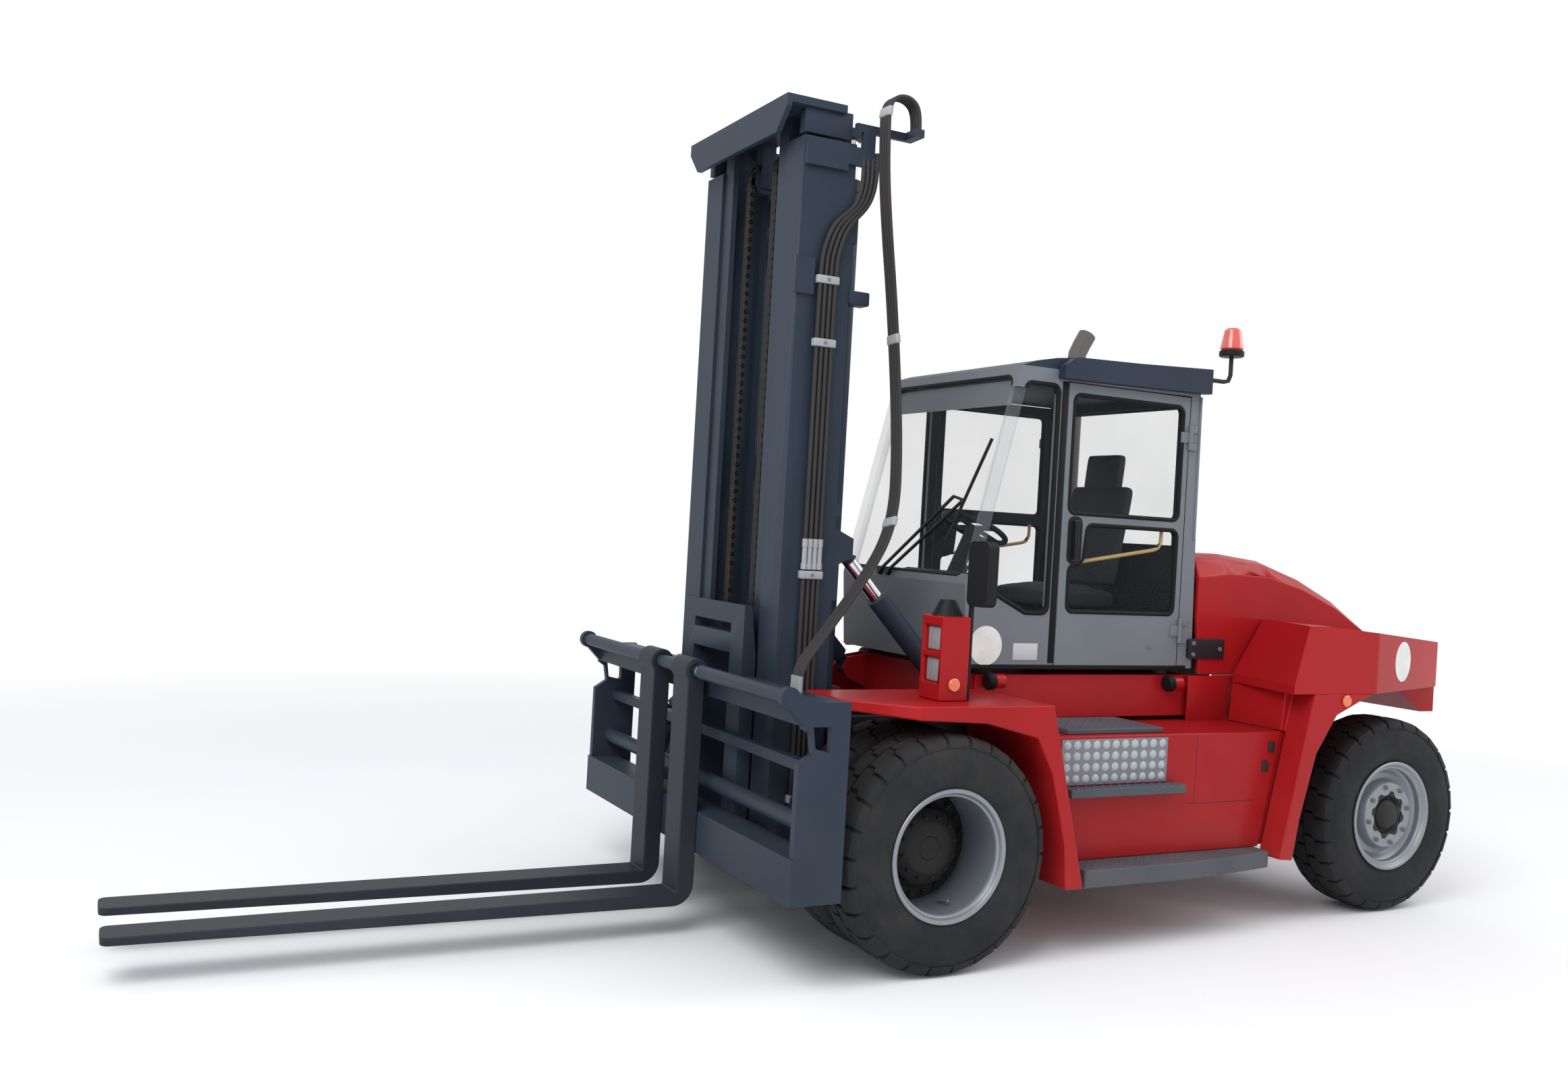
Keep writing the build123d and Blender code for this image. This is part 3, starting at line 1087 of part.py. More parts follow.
# Mirrors on rods behind the lamp posts, and the round covers on the posts
MIRROR_FACE = POST_Y[1] - MIRROR_ROD_R
with BuildPart() as mirrors:
    for sign in (1, -1):
        upright_rod(sign * MIRROR_ROD_X, POST_Y[1] + MIRROR_ROD_R, (FENDER_TOP, sum(MIRROR_Z) / 2),
                    MIRROR_ROD_R)
        with BuildSketch(Plane(origin=(sign * sum(MIRROR_X) / 2, MIRROR_FACE, sum(MIRROR_Z) / 2),
                               x_dir=(1, 0, 0),
                               z_dir=(0, -1, 0))):
            RectangleRounded(MIRROR_X[1] - MIRROR_X[0], MIRROR_Z[1] - MIRROR_Z[0], MIRROR_CORNER)
        extrude(amount=-MIRROR_DEPTH)
        with Locations((sign * sum(POST_X) / 2, sum(POST_Y) / 2, POST_TOP)):
            Cone(DOME_R, DOME_R / 2, DOME_HEIGHT, align=(Align.CENTER, Align.CENTER, Align.MIN))
save(mirrors, "mirrors")

# Beacon on a bent arm at the cab's rear left corner
BEACON_LENS_Z = BEACON_BASE_Z + BEACON_BASE
with BuildPart() as beacon:
    block((BEACON_X - BEACON_ARM / 2, BEACON_X + BEACON_ARM / 2), (VISOR_REAR, BEACON_Y + BEACON_ARM / 2),
          (BEACON_ARM_Z, BEACON_ARM_Z + BEACON_ARM))
    upright_rod(BEACON_X, BEACON_Y, (BEACON_ARM_Z, BEACON_BASE_Z), BEACON_ARM / 2)
    upright_rod(BEACON_X, BEACON_Y, (BEACON_BASE_Z, BEACON_LENS_Z), BEACON_R)
    with Locations((BEACON_X, BEACON_Y, BEACON_LENS_Z)):
        Cone(BEACON_R - DOOR_PROUD, BEACON_TOP_R, BEACON_HEIGHT,
             align=(Align.CENTER, Align.CENTER, Align.MIN))
save(beacon, "beacon")

# Exhaust: a stack behind the cab on the right, with its tip bent back
with BuildPart() as exhaust:
    upright_rod(EXHAUST_X, EXHAUST_Y, (TANK_TOP, EXHAUST_BEND_Z), EXHAUST_R)
    slant_rod((EXHAUST_Y, EXHAUST_BEND_Z - EXHAUST_R / 3), EXHAUST_TIP_DIR, (0, EXHAUST_TIP), EXHAUST_X,
              EXHAUST_R - DOOR_PROUD)
save(exhaust, "exhaust")


# Wiper: two arms and a blade that lie over the windscreen
def on_screen(x, z):
    """A point of the screen plane, from its X and its height."""
    return (x, (z - SCREEN_MIDDLE) / SCREEN_UPRIGHT)


with BuildPart() as wiper:
    for x, z in WIPER_PIVOTS:
        with BuildSketch(SCREEN):
            with Locations(on_screen(x, z)):
                Circle(WIPER_PIVOT_R)
        extrude(amount=WIPER_LIFT + WIPER_THICK)
    for start, end in (*zip(WIPER_PIVOTS, WIPER_TOPS), WIPER_BLADE, WIPER_TOPS):
        with BuildSketch(SCREEN.offset(WIPER_LIFT)):
            with BuildLine():
                Line(on_screen(*start), on_screen(*end))
            trace(line_width=WIPER_ARM)
        extrude(amount=WIPER_THICK)
save(wiper, "wiper")


# Mast: an outer pair of channels that tilts and an inner pair that lifts
def channel(sign, outside, lip, front, rear, height):
    """A channel upright with its web outside and its flanges turned to the middle."""
    block(sorted((sign * lip, sign * outside)), (front, rear), height)
    block(sorted((sign * lip, sign * (outside - MAST_PLATE))), (front + MAST_PLATE, rear - MAST_PLATE),
          height,
          mode=Mode.SUBTRACT)


CHAIN_R = SHEAVE_R + SEAT_GAP
CHAIN_BACK = ROLLER_Y + SHEAVE_R + CHAIN_THICK / 2
with BuildPart() as outer_mast:
    for sign in (1, -1):
        channel(sign, MAST_HALF, MAST_LIP_X, MAST_FRONT, MAST_REAR, (MAST_LOW, MAST_TOP))
        lug_x = sorted(sign * (PIVOT_LUG_X + edge) for edge in (-PIVOT_LUG_WIDTH / 2, PIVOT_LUG_WIDTH / 2))
        side_plate([(MAST_REAR, PIVOT_Z + 2 * PIVOT_LUG_R), (PIVOT_Y, PIVOT_Z + PIVOT_LUG_R),
                    (PIVOT_Y, PIVOT_Z - PIVOT_LUG_R), (MAST_REAR, PIVOT_Z - 2 * PIVOT_LUG_R)], lug_x)
        cross_rod(lug_x, PIVOT_Y, PIVOT_Z, PIVOT_LUG_R)
        cross_rod(lug_x, PIVOT_Y, PIVOT_Z, PIVOT_PIN_R + SHAFT_GAP, mode=Mode.SUBTRACT)
        for edge in (TILT_X - TILT_EDGE - TILT_LUG, TILT_X + TILT_EDGE):
            lug_x = sorted((sign * edge, sign * (edge + TILT_LUG)))
            side_plate([(MAST_REAR, TILT_MAST_EYE[1] + 2 * TILT_EYE_R),
                        (TILT_MAST_EYE[0] + TILT_EYE_R, TILT_MAST_EYE[1] + TILT_EYE_R),
                        (TILT_MAST_EYE[0] + TILT_EYE_R, TILT_MAST_EYE[1] - TILT_EYE_R),
                        (MAST_REAR, TILT_MAST_EYE[1] - 2 * TILT_EYE_R)], lug_x)
        block(sorted((sign * (LIFT_X - LIFT_FOOT), sign * (MAST_LIP_X + MAST_PLATE))),
              (MAST_REAR, LIFT_Y + LIFT_FOOT), (MAST_LOW, INNER_LOW))
        block((sign * CHAIN_X - CHAIN_LUG, sign * CHAIN_X + CHAIN_LUG), (CHAIN_BACK - ANCHOR_GRIP, MAST_REAR),
              (ANCHOR_Z, ANCHOR_Z + ANCHOR))
    for low, high in (*OUTER_TIES, (ANCHOR_Z, ANCHOR_Z + ANCHOR)):
        block((-MAST_HALF, MAST_HALF), (MAST_REAR, MAST_REAR + TIE_PLATE), (low, high))
    block((MAST_HALF, MAST_HALF + ARM_PLATE), HEAD_CLAMP[:2], HEAD_CLAMP[2:])
    block((MAST_HALF, MAST_HALF + MID_CLAMP_PLATE), MID_CLAMP[:2], MID_CLAMP[2:])
    side_plate(aft_points(ARM_FOOT), (MAST_HALF, MAST_HALF + ARM_PLATE))
    block((MAST_HALF, MAST_HALF + ARM_PLATE), ARM_Y, ARM_Z)
    hose_edge = HOSE_ROUTE[0][0] + HOSE_COUNT / 2 * HOSE_PITCH
    block((MAST_HALF, hose_edge), (ARM_Y[1] - ARM_TIP, ARM_Y[1]), ARM_Z)
save(outer_mast, "outer_mast")

# Clipped pipes down the left upright
with BuildPart() as mast_pipes:
    last_pipe = PIPE_FIRST + (PIPE_COUNT - 1) * PIPE_PITCH
    for pipe in range(PIPE_COUNT):
        upright_rod(PIPE_X, PIPE_FIRST + pipe * PIPE_PITCH, PIPE_Z, PIPE_R)
    for clip_z in CLIP_HEIGHTS:
        block((MAST_HALF, PIPE_X + PIPE_R + CLIP_EDGE / 2),
              (PIPE_FIRST - PIPE_R - CLIP_EDGE, last_pipe + PIPE_R + CLIP_EDGE), (clip_z, clip_z + CLIP))
save(mast_pipes, "mast_pipes")

# Lift cylinders: bored barrels on the outer mast, rods under the inner mast's crosshead
with BuildPart() as lift_barrels:
    for sign in (1, -1):
        upright_rod(sign * LIFT_X, LIFT_Y, (INNER_LOW, LIFT_BARREL_TOP), LIFT_BARREL_R)
        upright_rod(sign * LIFT_X, LIFT_Y, (LIFT_BORE_LOW, LIFT_BARREL_TOP), LIFT_ROD_R + SHAFT_GAP,
                    mode=Mode.SUBTRACT)
save(lift_barrels, "lift_barrels")

BRIDGE_LOW = HEAD_LOW - LIFT_BRIDGE_PLATE
with BuildPart() as lift_rods:
    for sign in (1, -1):
        upright_rod(sign * LIFT_X, LIFT_Y, (LIFT_ROD_LOW, BRIDGE_LOW), LIFT_ROD_R)
save(lift_rods, "lift_rods")

with BuildPart() as inner_mast:
    for sign in (1, -1):
        channel(sign, INNER_OUT, INNER_IN, INNER_FRONT, INNER_REAR, (INNER_LOW, HEAD_TOP))
        roller_x = sorted((sign * (INNER_OUT - SHEAVE_CHEEK), sign * (MAST_HALF - MAST_PLATE - RUNNING_GAP)))
        cross_rod(roller_x, ROLLER_Y, FOOT_ROLLER_Z, ROLLER_R)
        bridge_x = sorted((sign * (LIFT_X - LIFT_BRIDGE), sign * (LIFT_X + LIFT_BRIDGE)))
        block(bridge_x, (HEAD_BACK, LIFT_Y + LIFT_BRIDGE), (BRIDGE_LOW, HEAD_LOW))
        block(bridge_x, (HEAD_BACK - LIFT_BRIDGE, HEAD_BACK), (BRIDGE_LOW, HEAD_TOP))
        sheave_x = (sign * CHAIN_X - SHEAVE_WIDTH / 2, sign * CHAIN_X + SHEAVE_WIDTH / 2)
        cross_rod(sheave_x, ROLLER_Y, SHEAVE_Z, SHEAVE_R)
        for edge in (sheave_x[0] - SHEAVE_CHEEK, sheave_x[1]):
            block((edge, edge + SHEAVE_CHEEK), (ROLLER_Y - SHEAVE_CHEEK_HALF, ROLLER_Y + SHEAVE_CHEEK_HALF),
                  (SHEAVE_Z - SHEAVE_CHEEK_HALF, HEAD_LOW))
    block((-HEAD_HALF, HEAD_HALF), (HEAD_FRONT, HEAD_BACK), (HEAD_LOW, HEAD_TOP))
    band_edge = HEAD_TOP - HEAD_BAND_EDGE
    front_plate([(-HEAD_HALF, HEAD_TOP), (HEAD_HALF, HEAD_TOP), (HEAD_HALF, band_edge),
                 (HEAD_BAND_HALF, HEAD_BAND_LOW), (-HEAD_BAND_HALF, HEAD_BAND_LOW), (-HEAD_HALF, band_edge)],
                (HEAD_FRONT, HEAD_FRONT + HEAD_BAND))
    for low, high in INNER_TIES:
        block((-INNER_IN, INNER_IN), (INNER_REAR - INNER_TIE_PLATE, INNER_REAR), (low, high))
save(inner_mast, "inner_mast")

# Chains: over the sheaves from the outer mast's anchors to the carriage
with BuildPart() as chains:
    for sign in (1, -1):
        chain_x = (sign * CHAIN_X - CHAIN_WIDTH / 2, sign * CHAIN_X + CHAIN_WIDTH / 2)
        block(chain_x, (ROLLER_Y - CHAIN_R - CHAIN_THICK, ROLLER_Y - CHAIN_R), (CHAIN_FRONT_LOW, SHEAVE_Z))
        block(chain_x, (ROLLER_Y + CHAIN_R, ROLLER_Y + CHAIN_R + CHAIN_THICK), (CHAIN_REAR_LOW, SHEAVE_Z))
        with BuildSketch(Plane.YZ.offset(chain_x[0])):
            with Locations((ROLLER_Y, SHEAVE_Z)):
                Circle(CHAIN_R + CHAIN_THICK)
                Circle(CHAIN_R, mode=Mode.SUBTRACT)
                Rectangle(4 * CHAIN_R, 4 * CHAIN_R, align=(Align.CENTER, Align.MAX), mode=Mode.SUBTRACT)
        extrude(amount=CHAIN_WIDTH)
save(chains, "chains")

# Carriage: a wide frame of two side plates and beams, with arms and rollers inside the inner mast
with BuildPart() as carriage:
    for sign in (1, -1):
        plate_x = sorted((sign * (CARRIAGE_HALF - CARRIAGE_SIDE), sign * CARRIAGE_HALF))
        side_plate([(CARRIAGE_FRONT, CARRIAGE_LOW), (CARRIAGE_REAR, CARRIAGE_LOW),
                    (CARRIAGE_REAR, CARRIAGE_TOP),
                    (TOP_BEAM_FRONT, CARRIAGE_TOP), *reversed(aft_points(SIDE_NOTCH))], plate_x)
        side_plate(SIDE_WINDOW, plate_x, mode=Mode.SUBTRACT, corner=SIDE_WINDOW_CORNER)
        side_plate([(TOP_BEAM_FRONT, TOP_BEAM_LOW), (SHAFT_Y, SHAFT_Z - SHAFT_EYE_R), (SHAFT_Y, SHAFT_Z),
                    (SHAFT_Y, SHAFT_Z + SHAFT_EYE_R), (TOP_BEAM_FRONT + SHAFT_EYE_R, CARRIAGE_TOP)], plate_x)
        cross_rod(plate_x, SHAFT_Y, SHAFT_Z, SHAFT_EYE_R)
        cross_rod(plate_x, SHAFT_Y, SHAFT_Z, SHAFT_R + SEAT_GAP, mode=Mode.SUBTRACT)
        tower_x = sorted((sign * (TOWER_X - TOWER_WALL), sign * TOWER_X))
        side_plate([(BEAM_BACK, CARRIAGE_LOW), (MAST_FRONT - RUNNING_GAP, CARRIAGE_LOW),
                    (MAST_FRONT - RUNNING_GAP, TOWER_TOP - TOWER_RAKE), (BEAM_BACK + TOWER_LIP, TOWER_TOP),
                    (BEAM_BACK, TOWER_TOP)], tower_x)
        block(sorted((sign * ARM_IN, sign * TOWER_X)), (BEAM_BACK, BEAM_BACK + TOWER_FACE),
              (CARRIAGE_LOW, TOWER_TOP))
        block(sorted((sign * ARM_IN, sign * ARM_OUT)), (BEAM_BACK, ARM_REAR),
              (CARRIAGE_LOW + ARM_TRIM[0], TOWER_TOP - ARM_TRIM[1]))
        roller_out = INNER_OUT - MAST_PLATE - ROLLER_SIDE_GAP
        for roller_z in CARRIAGE_ROLLERS:
            cross_rod(sorted((sign * ARM_IN, sign * roller_out)), ROLLER_Y, roller_z, CARRIAGE_STUB_R)
            cross_rod(sorted((sign * INNER_IN, sign * roller_out)), (INNER_FRONT + INNER_REAR) / 2, roller_z,
                      CARRIAGE_ROLLER_R)
        block((sign * CHAIN_X - CHAIN_LUG, sign * CHAIN_X + CHAIN_LUG), (BEAM_BACK, ROLLER_Y - SHEAVE_R),
              (CHAIN_LUG_LOW, CHAIN_FRONT_LOW))
    block((-ARM_OUT, ARM_OUT), (BEAM_BACK, BEAM_BACK + CHAIN_BAR), (CHAIN_BAR_LOW, CHAIN_FRONT_LOW))
    block((-TOWER_X, TOWER_X), (BEAM_BACK, BEAM_BACK + TOWER_FACE), (TOWER_TOP - TOWER_TIE, TOWER_TOP))
    block((-CARRIAGE_HALF, CARRIAGE_HALF), (TOP_BEAM_FRONT, BEAM_BACK), (TOP_BEAM_LOW, CARRIAGE_TOP))
    block((-CARRIAGE_HALF, CARRIAGE_HALF), (SHANK_BACK + SEAT_GAP, BEAM_BACK), (CARRIAGE_LOW, LOW_BEAM_TOP))
    tube_half = CARRIAGE_HALF - CARRIAGE_SIDE / 2
    cross_rod((-tube_half, tube_half), *CROSS_TUBE, CROSS_TUBE_R)
    block((-tube_half, tube_half), (CROSS_TUBE[0], BEAM_BACK), CROSS_BAR_Z)
save(carriage, "carriage")

with BuildPart() as guide_shaft:
    cross_rod((-CARRIAGE_HALF, CARRIAGE_HALF), SHAFT_Y, SHAFT_Z, SHAFT_R)
save(guide_shaft, "guide_shaft")

# Forks: flat on top and tapered below, with a rounded heel, hung on the guide shaft
for side, sign in (("left", 1), ("right", -1)):
    fork_x = (sign * FORK_X - FORK_WIDTH / 2, sign * FORK_X + FORK_WIDTH / 2)
    with BuildPart() as fork:
        with BuildSketch(Plane.YZ.offset(fork_x[0])) as fork_side:
            with BuildLine():
                Polyline((SHANK_BACK, FORK_TOP - FORK_THICK), (SHANK_BACK, SHAFT_Z), (SHANK_FRONT, SHAFT_Z),
                         (SHANK_FRONT, FORK_TOP), (FORK_TIP_Y, FORK_TOP),
                         (FORK_TIP_Y, FORK_TOP - FORK_TIP_THICK),
                         close=True)
            make_face()
            corners = fork_side.vertices().sort_by(Axis.Y)
            heel = corners.filter_by(lambda v: v.Y < FORK_TOP).sort_by(Axis.X)[-1]
            upper = corners.filter_by(lambda v: v.Y < SHAFT_Z and v.Y > FORK_TOP - FORK_TIP_THICK)
            crotch = upper.sort_by(Axis.X)[-1]
            fillet(heel, HEEL_R)
            fillet(crotch, CROTCH_R)
        extrude(amount=FORK_WIDTH)
        fillet(fork.edges().filter_by(Axis.Z).group_by(Axis.Y)[0], FORK_TIP_CORNER)
        cross_rod(fork_x, SHAFT_Y, SHAFT_Z, HOOK_R)
        cross_rod(fork_x, SHAFT_Y, SHAFT_Z, SHAFT_R + SHAFT_GAP, mode=Mode.SUBTRACT)
    save(fork, f"fork_{side}")

# Tilt cylinders: barrels pinned to the deck, rods with an eye at the mast
tilt_run = (TILT_MAST_EYE[0] - TILT_ANCHOR[0], TILT_MAST_EYE[1] - TILT_ANCHOR[1])
TILT_LENGTH = math.hypot(*tilt_run)
TILT_DIR = (tilt_run[0] / TILT_LENGTH, tilt_run[1] / TILT_LENGTH)
with BuildPart() as tilt_barrels:
    for sign in (1, -1):
        eye_x = sorted((sign * (TILT_X - TILT_EYE_WIDTH / 2), sign * (TILT_X + TILT_EYE_WIDTH / 2)))
        slant_rod(TILT_ANCHOR, TILT_DIR, (TILT_NECK, TILT_BARREL_LENGTH), sign * TILT_X, TILT_BARREL_R)
        slant_rod(TILT_ANCHOR, TILT_DIR, (0, TILT_NECK), sign * TILT_X, TILT_ROD_R)
        cross_rod(eye_x, TILT_ANCHOR[0], TILT_ANCHOR[1], TILT_EYE_R)
        cross_rod(eye_x, TILT_ANCHOR[0], TILT_ANCHOR[1], TILT_PIN_R + SHAFT_GAP, mode=Mode.SUBTRACT)
        slant_rod(TILT_ANCHOR, TILT_DIR, (TILT_NECK + TILT_LUG, TILT_BARREL_LENGTH), sign * TILT_X,
                  TILT_ROD_R + SHAFT_GAP, mode=Mode.SUBTRACT)
save(tilt_barrels, "tilt_barrels")

with BuildPart() as tilt_rods:
    for sign in (1, -1):
        eye_x = sorted((sign * (TILT_X - TILT_EYE_WIDTH / 2), sign * (TILT_X + TILT_EYE_WIDTH / 2)))
        slant_rod(TILT_ANCHOR, TILT_DIR, (TILT_ROD_START, TILT_LENGTH - TILT_PIN_R), sign * TILT_X,
                  TILT_ROD_R)
        cross_rod(eye_x, TILT_MAST_EYE[0], TILT_MAST_EYE[1], TILT_EYE_R)
        cross_rod(eye_x, TILT_MAST_EYE[0], TILT_MAST_EYE[1], TILT_PIN_R, mode=Mode.SUBTRACT)
save(tilt_rods, "tilt_rods")


# Free hoses: four of them side by side, over the mast's arm and down to the carriage's top beam
def hose_radii(points):
    """The largest arc that each corner's two runs allow."""
    radii = []
    for before, corner, after in zip(points, points[1:], points[2:]):
        inward, outward = corner - before, after - corner
        run = min(inward.length, outward.length)
        half_turn = math.radians(inward.get_angle(outward)) / 2
        radii.append(0.45 * run / math.tan(half_turn))
    return radii


for number in range(HOSE_COUNT):
    shift = (number - (HOSE_COUNT - 1) / 2) * HOSE_PITCH
    points = [Vector(x + shift, aft(y), z) for x, y, z in HOSE_ROUTE]
    radii = hose_radii(points)
    with BuildPart() as hose:
        with BuildLine() as route:
            FilletPolyline(*points, radius=radii)
        with BuildSketch(Plane(origin=points[0], z_dir=points[1] - points[0])):
            Circle(HOSE_R)
        sweep()
    length = sum(edge.length for edge in route.edges())
    print(f"hose {number + 1}: length {length:.0f}, radii", [round(r) for r in radii],
          f"volume ratio {hose.part.volume / (math.pi * HOSE_R ** 2 * length):.4f}")
    save(hose, f"hose_{number + 1}")
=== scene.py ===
import bpy
import bmesh
import json
import math
from mathutils import Matrix, Vector

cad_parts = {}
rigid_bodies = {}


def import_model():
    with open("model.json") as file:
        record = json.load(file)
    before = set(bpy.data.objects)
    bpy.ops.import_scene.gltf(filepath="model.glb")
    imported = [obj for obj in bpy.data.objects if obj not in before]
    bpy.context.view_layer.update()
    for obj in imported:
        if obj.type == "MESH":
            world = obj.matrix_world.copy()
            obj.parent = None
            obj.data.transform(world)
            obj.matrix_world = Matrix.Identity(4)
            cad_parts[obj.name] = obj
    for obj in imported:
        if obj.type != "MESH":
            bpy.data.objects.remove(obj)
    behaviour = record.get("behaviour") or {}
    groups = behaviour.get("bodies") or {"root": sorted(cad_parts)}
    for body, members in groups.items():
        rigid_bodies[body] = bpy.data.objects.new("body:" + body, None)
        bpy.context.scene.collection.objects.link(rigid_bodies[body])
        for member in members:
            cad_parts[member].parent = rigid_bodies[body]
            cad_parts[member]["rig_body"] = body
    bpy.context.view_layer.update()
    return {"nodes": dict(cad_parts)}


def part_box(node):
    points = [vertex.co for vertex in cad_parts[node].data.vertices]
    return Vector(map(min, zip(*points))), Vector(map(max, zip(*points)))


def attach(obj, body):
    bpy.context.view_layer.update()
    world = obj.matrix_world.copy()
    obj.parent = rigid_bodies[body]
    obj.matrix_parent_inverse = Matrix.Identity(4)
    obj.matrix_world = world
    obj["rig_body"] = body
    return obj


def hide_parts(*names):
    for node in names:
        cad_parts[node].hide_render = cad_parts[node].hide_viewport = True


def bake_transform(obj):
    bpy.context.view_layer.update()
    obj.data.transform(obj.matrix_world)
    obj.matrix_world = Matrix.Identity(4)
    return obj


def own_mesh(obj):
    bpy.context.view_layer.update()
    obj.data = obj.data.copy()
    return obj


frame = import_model()

# Camera: a person's eye height, ahead of the left front wheel and beside the fork tips.
# The view is level, with the lens's slight lean kept.
scene = bpy.context.scene
scene.view_settings.view_transform = "Standard"
lens = bpy.data.cameras.new("viewpoint")
lens.sensor_width = 36.0
lens.lens = 31.015
lens.shift_x = 0.0069
lens.clip_end = 200.0
viewpoint = bpy.data.objects.new("viewpoint", lens)
right = Vector((0.45695, 0.88767, 0.05685))
up = Vector((-0.02945, -0.04878, 0.99838))
behind = Vector((0.88900, -0.45788, 0.00385))
turn = Matrix((right, up, behind)).transposed().to_4x4()
front_y = sum(corner.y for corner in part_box("front_left_rims")) / 2
eye_point = Vector((6.4081, front_y - 3.6743, 2.0416))
viewpoint.matrix_world = Matrix.Translation(eye_point) @ turn
scene.collection.objects.link(viewpoint)
scene.camera = viewpoint


# Floor and light: a pale studio floor that fades into a white room, lit by soft overhead panels.
# The floor keeps the truck's shadow; the room is white to the eye and softer as a light.
class Wire:
    """An output of a finish's node tree: arithmetic on it adds Math nodes."""

    def __init__(self, tree, socket):
        self.tree, self.socket = tree, socket

    def node(self, kind, settings, inputs, out=0):
        made = self.tree.nodes.new(kind)
        for key, value in settings.items():
            if key == "stops":
                ends = made.color_ramp.elements
                ends[0].position, ends[0].color = value[0][0], (*value[0][1], 1.0)
                ends[1].position, ends[1].color = value[-1][0], (*value[-1][1], 1.0)
                for place, colour in value[1:-1]:
                    ends.new(place).color = (*colour, 1.0)
            else:
                setattr(made, key, value)
        for key, value in inputs.items():
            if isinstance(value, Wire):
                self.tree.links.new(value.socket, made.inputs[key])
            else:
                made.inputs[key].default_value = value
        return Wire(self.tree, made.outputs[out])

    def maths(self, operation, *values):
        return self.node("ShaderNodeMath", {"operation": operation}, dict(enumerate(values)))

    def __add__(self, other):
        return self.maths("ADD", self, other)

    def __sub__(self, other):
        return self.maths("SUBTRACT", self, other)

    def __rsub__(self, other):
        return self.maths("SUBTRACT", other, self)

    def __mul__(self, other):
        return self.maths("MULTIPLY", self, other)

    __radd__ = __add__
    __rmul__ = __mul__

    def within(self, low, high):
        """0 below low, 1 above high and even between them."""
        return self.node("ShaderNodeMapRange", {}, {0: self, 1: low, 2: high, 3: 0.0, 4: 1.0})

    def blend(self, first, second):
        """The first colour where this is 0, the second where it is 1."""
        return self.node("ShaderNodeMix", {"data_type": "RGBA"}, {0: self, 6: first, 7: second}, out=2)


floor_mesh = bpy.data.meshes.new("floor")
FLOOR_REACH = 30.0
FADE_FROM, FADE_TO = 5.0, 11.0
corners = [(-FLOOR_REACH, -FLOOR_REACH, 0), (FLOOR_REACH, -FLOOR_REACH, 0),
           (FLOOR_REACH, FLOOR_REACH, 0), (-FLOOR_REACH, FLOOR_REACH, 0)]
floor_mesh.from_pydata(corners, [], [(0, 1, 2, 3)])
floor = bpy.data.objects.new("floor", floor_mesh)
scene.collection.objects.link(floor)
floor_finish = bpy.data.materials.new("floor_white")
floor_finish.use_nodes = True
tree = floor_finish.node_tree
tree.nodes.clear()
place = Wire(tree, tree.nodes.new("ShaderNodeTexCoord").outputs["Object"])
away = place.node("ShaderNodeVectorMath", {"operation": "LENGTH"}, {0: place}, out=1)
matte = place.node("ShaderNodeBsdfDiffuse", {}, {"Color": (0.93, 0.93, 0.93, 1)})
clear = place.node("ShaderNodeBsdfTransparent", {}, {})
faded = place.node("ShaderNodeMixShader", {}, {0: away.within(FADE_FROM, FADE_TO), 1: matte, 2: clear})
tree.links.new(faded.socket, tree.nodes.new("ShaderNodeOutputMaterial").inputs["Surface"])
floor_mesh.materials.append(floor_finish)

room = bpy.data.worlds.new("white_room")
room.use_nodes = True
tree = room.node_tree
path = tree.nodes.new("ShaderNodeLightPath")
seen = Wire(tree, path.outputs["Is Camera Ray"])
glossy = Wire(tree, path.outputs["Is Glossy Ray"])
through = Wire(tree, path.outputs["Is Transmission Ray"])
white_to = (seen + glossy + through).within(0.0, 1.0)
sky = white_to.blend((0.72, 0.74, 0.78, 1), (1, 1, 1, 1))
background = tree.nodes["Background"]
tree.links.new(sky.socket, background.inputs["Color"])
background.inputs["Strength"].default_value = 1.0
scene.world = room
LIT_POINT = Vector((0, 0, 1.2))
for name, place, size, power in (("key_panel", (4.5, -6.5, 8.5), 6.0, 620.0),
                                 ("rear_panel", (3.0, 8.0, 7.5), 6.0, 260.0)):
    panel = bpy.data.lights.new(name, "AREA")
    panel.size, panel.energy = size, power
    lamp = bpy.data.objects.new(name, panel)
    lamp.location = place
    lamp.rotation_mode = "QUATERNION"
    lamp.rotation_quaternion = (LIT_POINT - Vector(place)).to_track_quat("-Z", "Y")
    scene.collection.objects.link(lamp)


# Welded chassis frame, axles, knuckles and engine: thick plate and castings in black machine paint,
# sprayed after welding, with road dust on the low parts.
def srgb(red, green, blue):
    """A colour as read off a screen, made linear."""
    def part(value):
        value = value / 255
        return value / 12.92 if value <= 0.04045 else ((value + 0.055) / 1.055) ** 2.4
    return (part(red), part(green), part(blue), 1.0)


def new_finish(name, **constants):
    """An empty finish, its shader and the place on the surface."""
    finish = bpy.data.materials.new(name)
    finish.use_nodes = True
    shader = finish.node_tree.nodes["Principled BSDF"]
    for socket, value in constants.items():
        shader.inputs[socket.replace("_", " ")].default_value = value
    return finish, shader, Wire(finish.node_tree,
                                finish.node_tree.nodes.new("ShaderNodeTexCoord").outputs["Object"])


def feed(shader, **wires):
    for socket, wire in wires.items():
        wire.tree.links.new(wire.socket, shader.inputs[socket.replace("_", " ")])


def noise(place, scale, detail=3.0, rough=0.55):
    return place.node("ShaderNodeTexNoise", {}, {"Vector": place, "Scale": scale, "Detail": detail,
                                                 "Roughness": rough})


